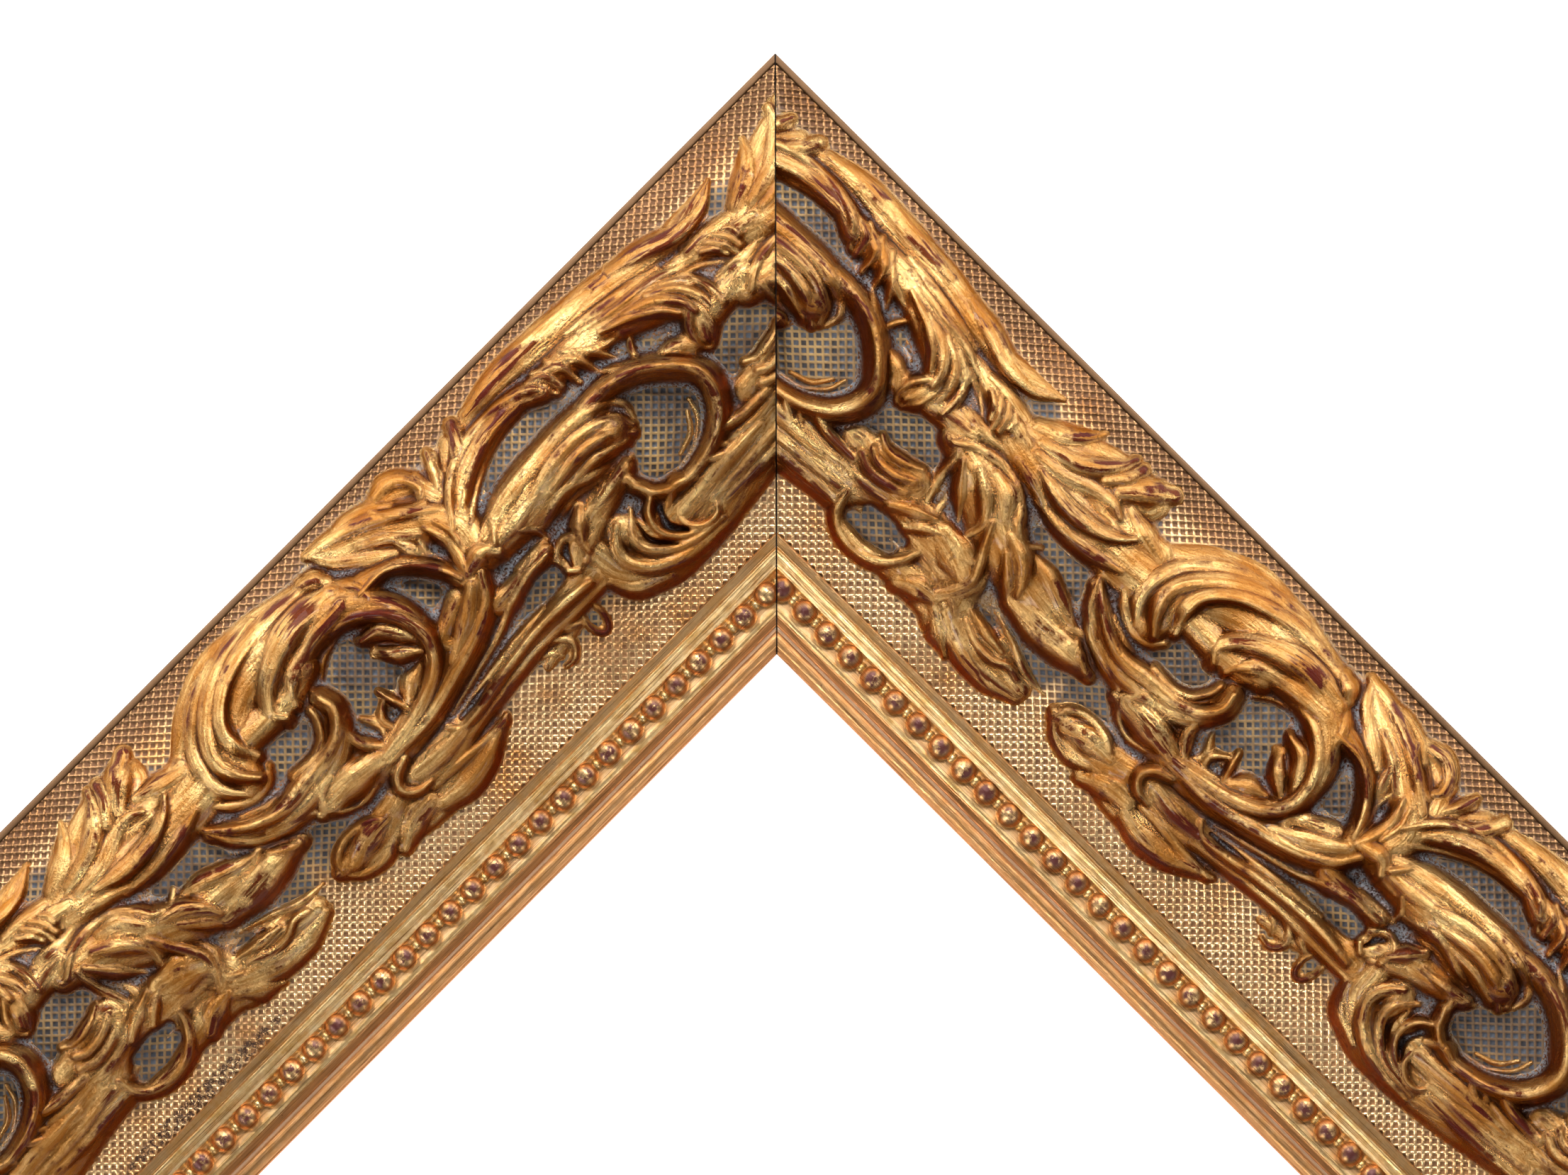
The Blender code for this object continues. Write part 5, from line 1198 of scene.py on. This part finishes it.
def gilded_mouldings():
    """Gold leaf on smooth gesso, brushed lengthwise: lines of brown glaze between bright edges.

    The flats keep more glaze than the ridge, which is left bare as a painted highlight; the lip and the
    sides of the beads carry more glaze, partly as painted shade, the groove a cold film, and the tops of the
    beads are rubbed through to the clay.
    """
    material, tree, shader = new_material("brushed gold leaf on gesso")
    place = add(tree, "ShaderNodeTexCoord").outputs["Object"]
    grain = add(tree, "ShaderNodeAttribute", attribute_name="grain").outputs["Vector"]
    crest, glaze_and_painted_light, cold = (add(tree, "ShaderNodeAttribute", attribute_name=key).outputs["Fac"]
                           for key in ("crest", "glaze_and_painted_light", "cold"))
    # Brush lines of 17 by 0.3 mm along the length, patches of wear, and grain of the gesso (real
    # 0.1 mm, drawn as 0.8 mm to show)
    drawn = add(tree, "ShaderNodeVectorMath", {0: grain, 1: (1 / 16.667, 1 / 0.29412, 0.0)},
                operation="MULTIPLY").outputs[0]
    streaks, patches, specks = (
        add(tree, "ShaderNodeTexNoise", {"Vector": at, "Scale": scale, "Detail": detail, "Roughness": rough})
        .outputs[0] for at, scale, detail, rough in (
            (drawn, 1.0, 4.0, 0.65), (place, per_metre(3.85), 6.0, 0.7), (place, per_metre(0.769), 3.0, 0.5)))
    tone, line, worn, rough = (
        add(tree, "ShaderNodeMapRange", {0: source, 1: start, 2: end, 3: least, 4: most}).outputs[0]
        for source, start, end, least, most in (
            (patches, 0.4, 0.65, 0.0, 1.0), (streaks, 0.5, 0.66, 0.0, 0.85), (patches, 0.42, 0.5, 0.0, 1.0),
            (patches, 0.3, 0.7, 0.27, 0.38)))
    worn = add(tree, "ShaderNodeMath", {0: worn, 1: crest}, operation="MULTIPLY").outputs[0]
    # Glaze, partly painted shade, over the flats, the lip and the bead sides; the bare ridge is a painted
    # highlight
    colour = linear("#F2D094")
    for share, over in ((tone, "#D6A860"), (glaze_and_painted_light, "#BC7C48"), (line, "#7C4C24"), (cold, "#CCB296"),
                        (worn, "#5C2C26")):
        colour = add(tree, "ShaderNodeMix", {0: share, 6: colour, 7: linear(over)},
                     data_type="RGBA").outputs[2]
    dull = add(tree, "ShaderNodeMath", {0: cold, 1: worn}, operation="MAXIMUM").outputs[0]
    metal = add(tree, "ShaderNodeMapRange", {0: dull, 3: 0.88, 4: 0.3}).outputs[0]
    marks = add(tree, "ShaderNodeMath", {0: specks, 1: 0.15, 2: streaks}, operation="MULTIPLY_ADD").outputs[0]
    bump = add(tree, "ShaderNodeBump", {"Strength": 0.35, "Distance": 0.3 * MM, "Height": marks}).outputs[0]
    feed(tree, shader, {"Base Color": colour, "Metallic": metal, "Roughness": rough, "Normal": bump})
    return material


def plain_finish(name, pale, dark, steps, detail, strength, **looks):
    """A finish of two colours that run into each other in marks of the given sizes in millimetres."""
    material, tree, shader = new_material(name)
    place = add(tree, "ShaderNodeTexCoord").outputs["Object"]
    fibre = add(tree, "ShaderNodeMapping", {"Vector": place, "Scale": [per_metre(step) for step in steps]})
    marks = add(tree, "ShaderNodeTexNoise", {"Vector": fibre.outputs[0], "Scale": 1.0, "Detail": 5.0,
                                             "Roughness": detail}).outputs[0]
    colour = add(tree, "ShaderNodeMix", {0: marks, 6: linear(pale), 7: linear(dark)},
                 data_type="RGBA").outputs[2]
    bump = add(tree, "ShaderNodeBump", {"Strength": strength, "Distance": 0.2 * MM, "Height": marks})
    feed(tree, shader, {"Base Color": colour, "Normal": bump.outputs[0], **looks})
    return material


def umber_paint():
    """Brushed bronze paint toned with umber, on the outer side: a dull brown metal with soft marks."""
    return plain_finish("umber toned bronze paint", "#5A3C22", "#7E5C3A", (3.85, 3.85, 3.85), 0.5, 0.3,
                        Metallic=0.55, Roughness=0.45)


def planed_wood():
    """Planed softwood, on the back: pale and matte, with long soft growth lines 3 mm apart."""
    return plain_finish("planed softwood", "#D9BC8C", "#B18D5A", (83.3, 3.33, 3.33), 0.6, 0.25,
                        Roughness=0.72)


def sawn_wood():
    """Sawn softwood end grain, on the cut ends: darker than the back, matte and without lines."""
    return plain_finish("sawn end grain", "#CBAA78", "#8F6A41", (3.85, 3.85, 3.85), 0.6, 0.25,
                        Roughness=0.72)


def joint_grime():
    """Glue and dust in the mitre: near black and dull."""
    material, tree, shader = new_material("glue and dust in the mitre")
    feed(tree, shader, {"Base Color": linear("#1A100A"), "Roughness": 0.9})
    return material


def studio():
    """Pale floor, soft lamps round the corner, and the camera straight above it.

    Two low wings beside the outer sides light the outer slopes, a key beyond the corner and a weak top
    light the faces, and two lamps on the sight side keep the inner slopes from going black.
    """
    bpy.ops.mesh.primitive_plane_add(size=6.0, location=(0, 0, -0.4 * MM))
    floor = bpy.context.object
    floor.name = "floor"
    material, tree, shader = new_material("matte white paper")
    feed(tree, shader, {"Base Color": linear("#FAFAFA"), "Roughness": 0.9,
                        "Emission Color": linear("#FFFFFF"), "Emission Strength": 0.8})
    floor.data.materials.append(material)
    floor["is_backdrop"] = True
    # Each lamp: how far it stands up and right of the middle as the photo has them, its height, size
    # and power. The corner points up in the photo, so up is -X +Y and right is +X +Y.
    up, right = np.array([-1, 1]) / math.sqrt(2), np.array([1, 1]) / math.sqrt(2)
    lamps = (("key", 0.95, 0.0, 1.15, (0.5, 0.26), 18.0), ("right wing", 0.8, 0.8, 0.5, (0.5, 0.45), 7.2),
             ("left wing", 0.8, -0.8, 0.5, (0.5, 0.45), 8.2), ("top", 0.1, 0.0, 2.4, (0.6, 0.6), 1.1),
             ("left sight side", -0.75, -0.75, 0.9, (0.3, 0.3), 8.0),
             ("right sight side", -0.75, 0.75, 0.9, (0.3, 0.3), 3.0))
    for name, upward, rightward, height, size, power in lamps:
        away = up * upward + right * rightward
        lamp = bpy.data.lights.new(name, "AREA")
        lamp.shape = "RECTANGLE"
        lamp.size, lamp.size_y = size
        lamp.energy = power
        obj = new_object(name, lamp)
        obj.location = (*(MIDDLE + away), height)
        obj.rotation_euler = Vector((*away, height)).to_track_quat("Z", "Y").to_euler()
    world = bpy.data.worlds.new("studio")
    world.use_nodes = True
    feed(world.node_tree, world.node_tree.nodes["Background"], {0: (1, 1, 1, 1), 1: 0.05})
    bpy.context.scene.world = world
    bpy.context.scene.view_settings.view_transform = "Standard"
    lens = bpy.data.cameras.new("camera")
    lens.sensor_width = 36.0
    lens.lens = FOCAL_PIXELS / IMAGE_WIDTH * lens.sensor_width
    lens.clip_end = 20.0
    camera = new_object("camera", lens)
    camera.location = CAMERA_AT
    camera.rotation_euler = (0, 0, CAMERA_TURN)
    bpy.context.scene.camera = camera


def build():
    """Both lengths, piece by piece, each piece with its finish."""
    carving = carve_repeat()
    leaf, lattice, mouldings = gilded_ornament(), gilded_lattice(), gilded_mouldings()
    slots = [planed_wood(), sawn_wood(), joint_grime(), umber_paint()]
    tree = bead_tree()
    for side, length in LENGTHS.items():
        way, phase = length["way"], length["phase"]
        pieces = [ornament_skin(side, way, phase, carving), lattice_ground(side, way, phase, carving),
                  sight_edge(side, way), stock(side, way, phase, carving)]
        for piece, finish in zip(pieces, (leaf, lattice, mouldings)):
            piece.data.materials.append(finish)
        for finish in slots:
            pieces[3].data.materials.append(finish)
        pieces.append(bead_course(side, way, length["bead"], tree, mouldings))
        for piece in pieces:
            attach(piece, "root")
            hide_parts(side + "_length")


build()
studio()
boxes = [[[float(c) for c in corner] for corner in box] for box in (cad_box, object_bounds())]
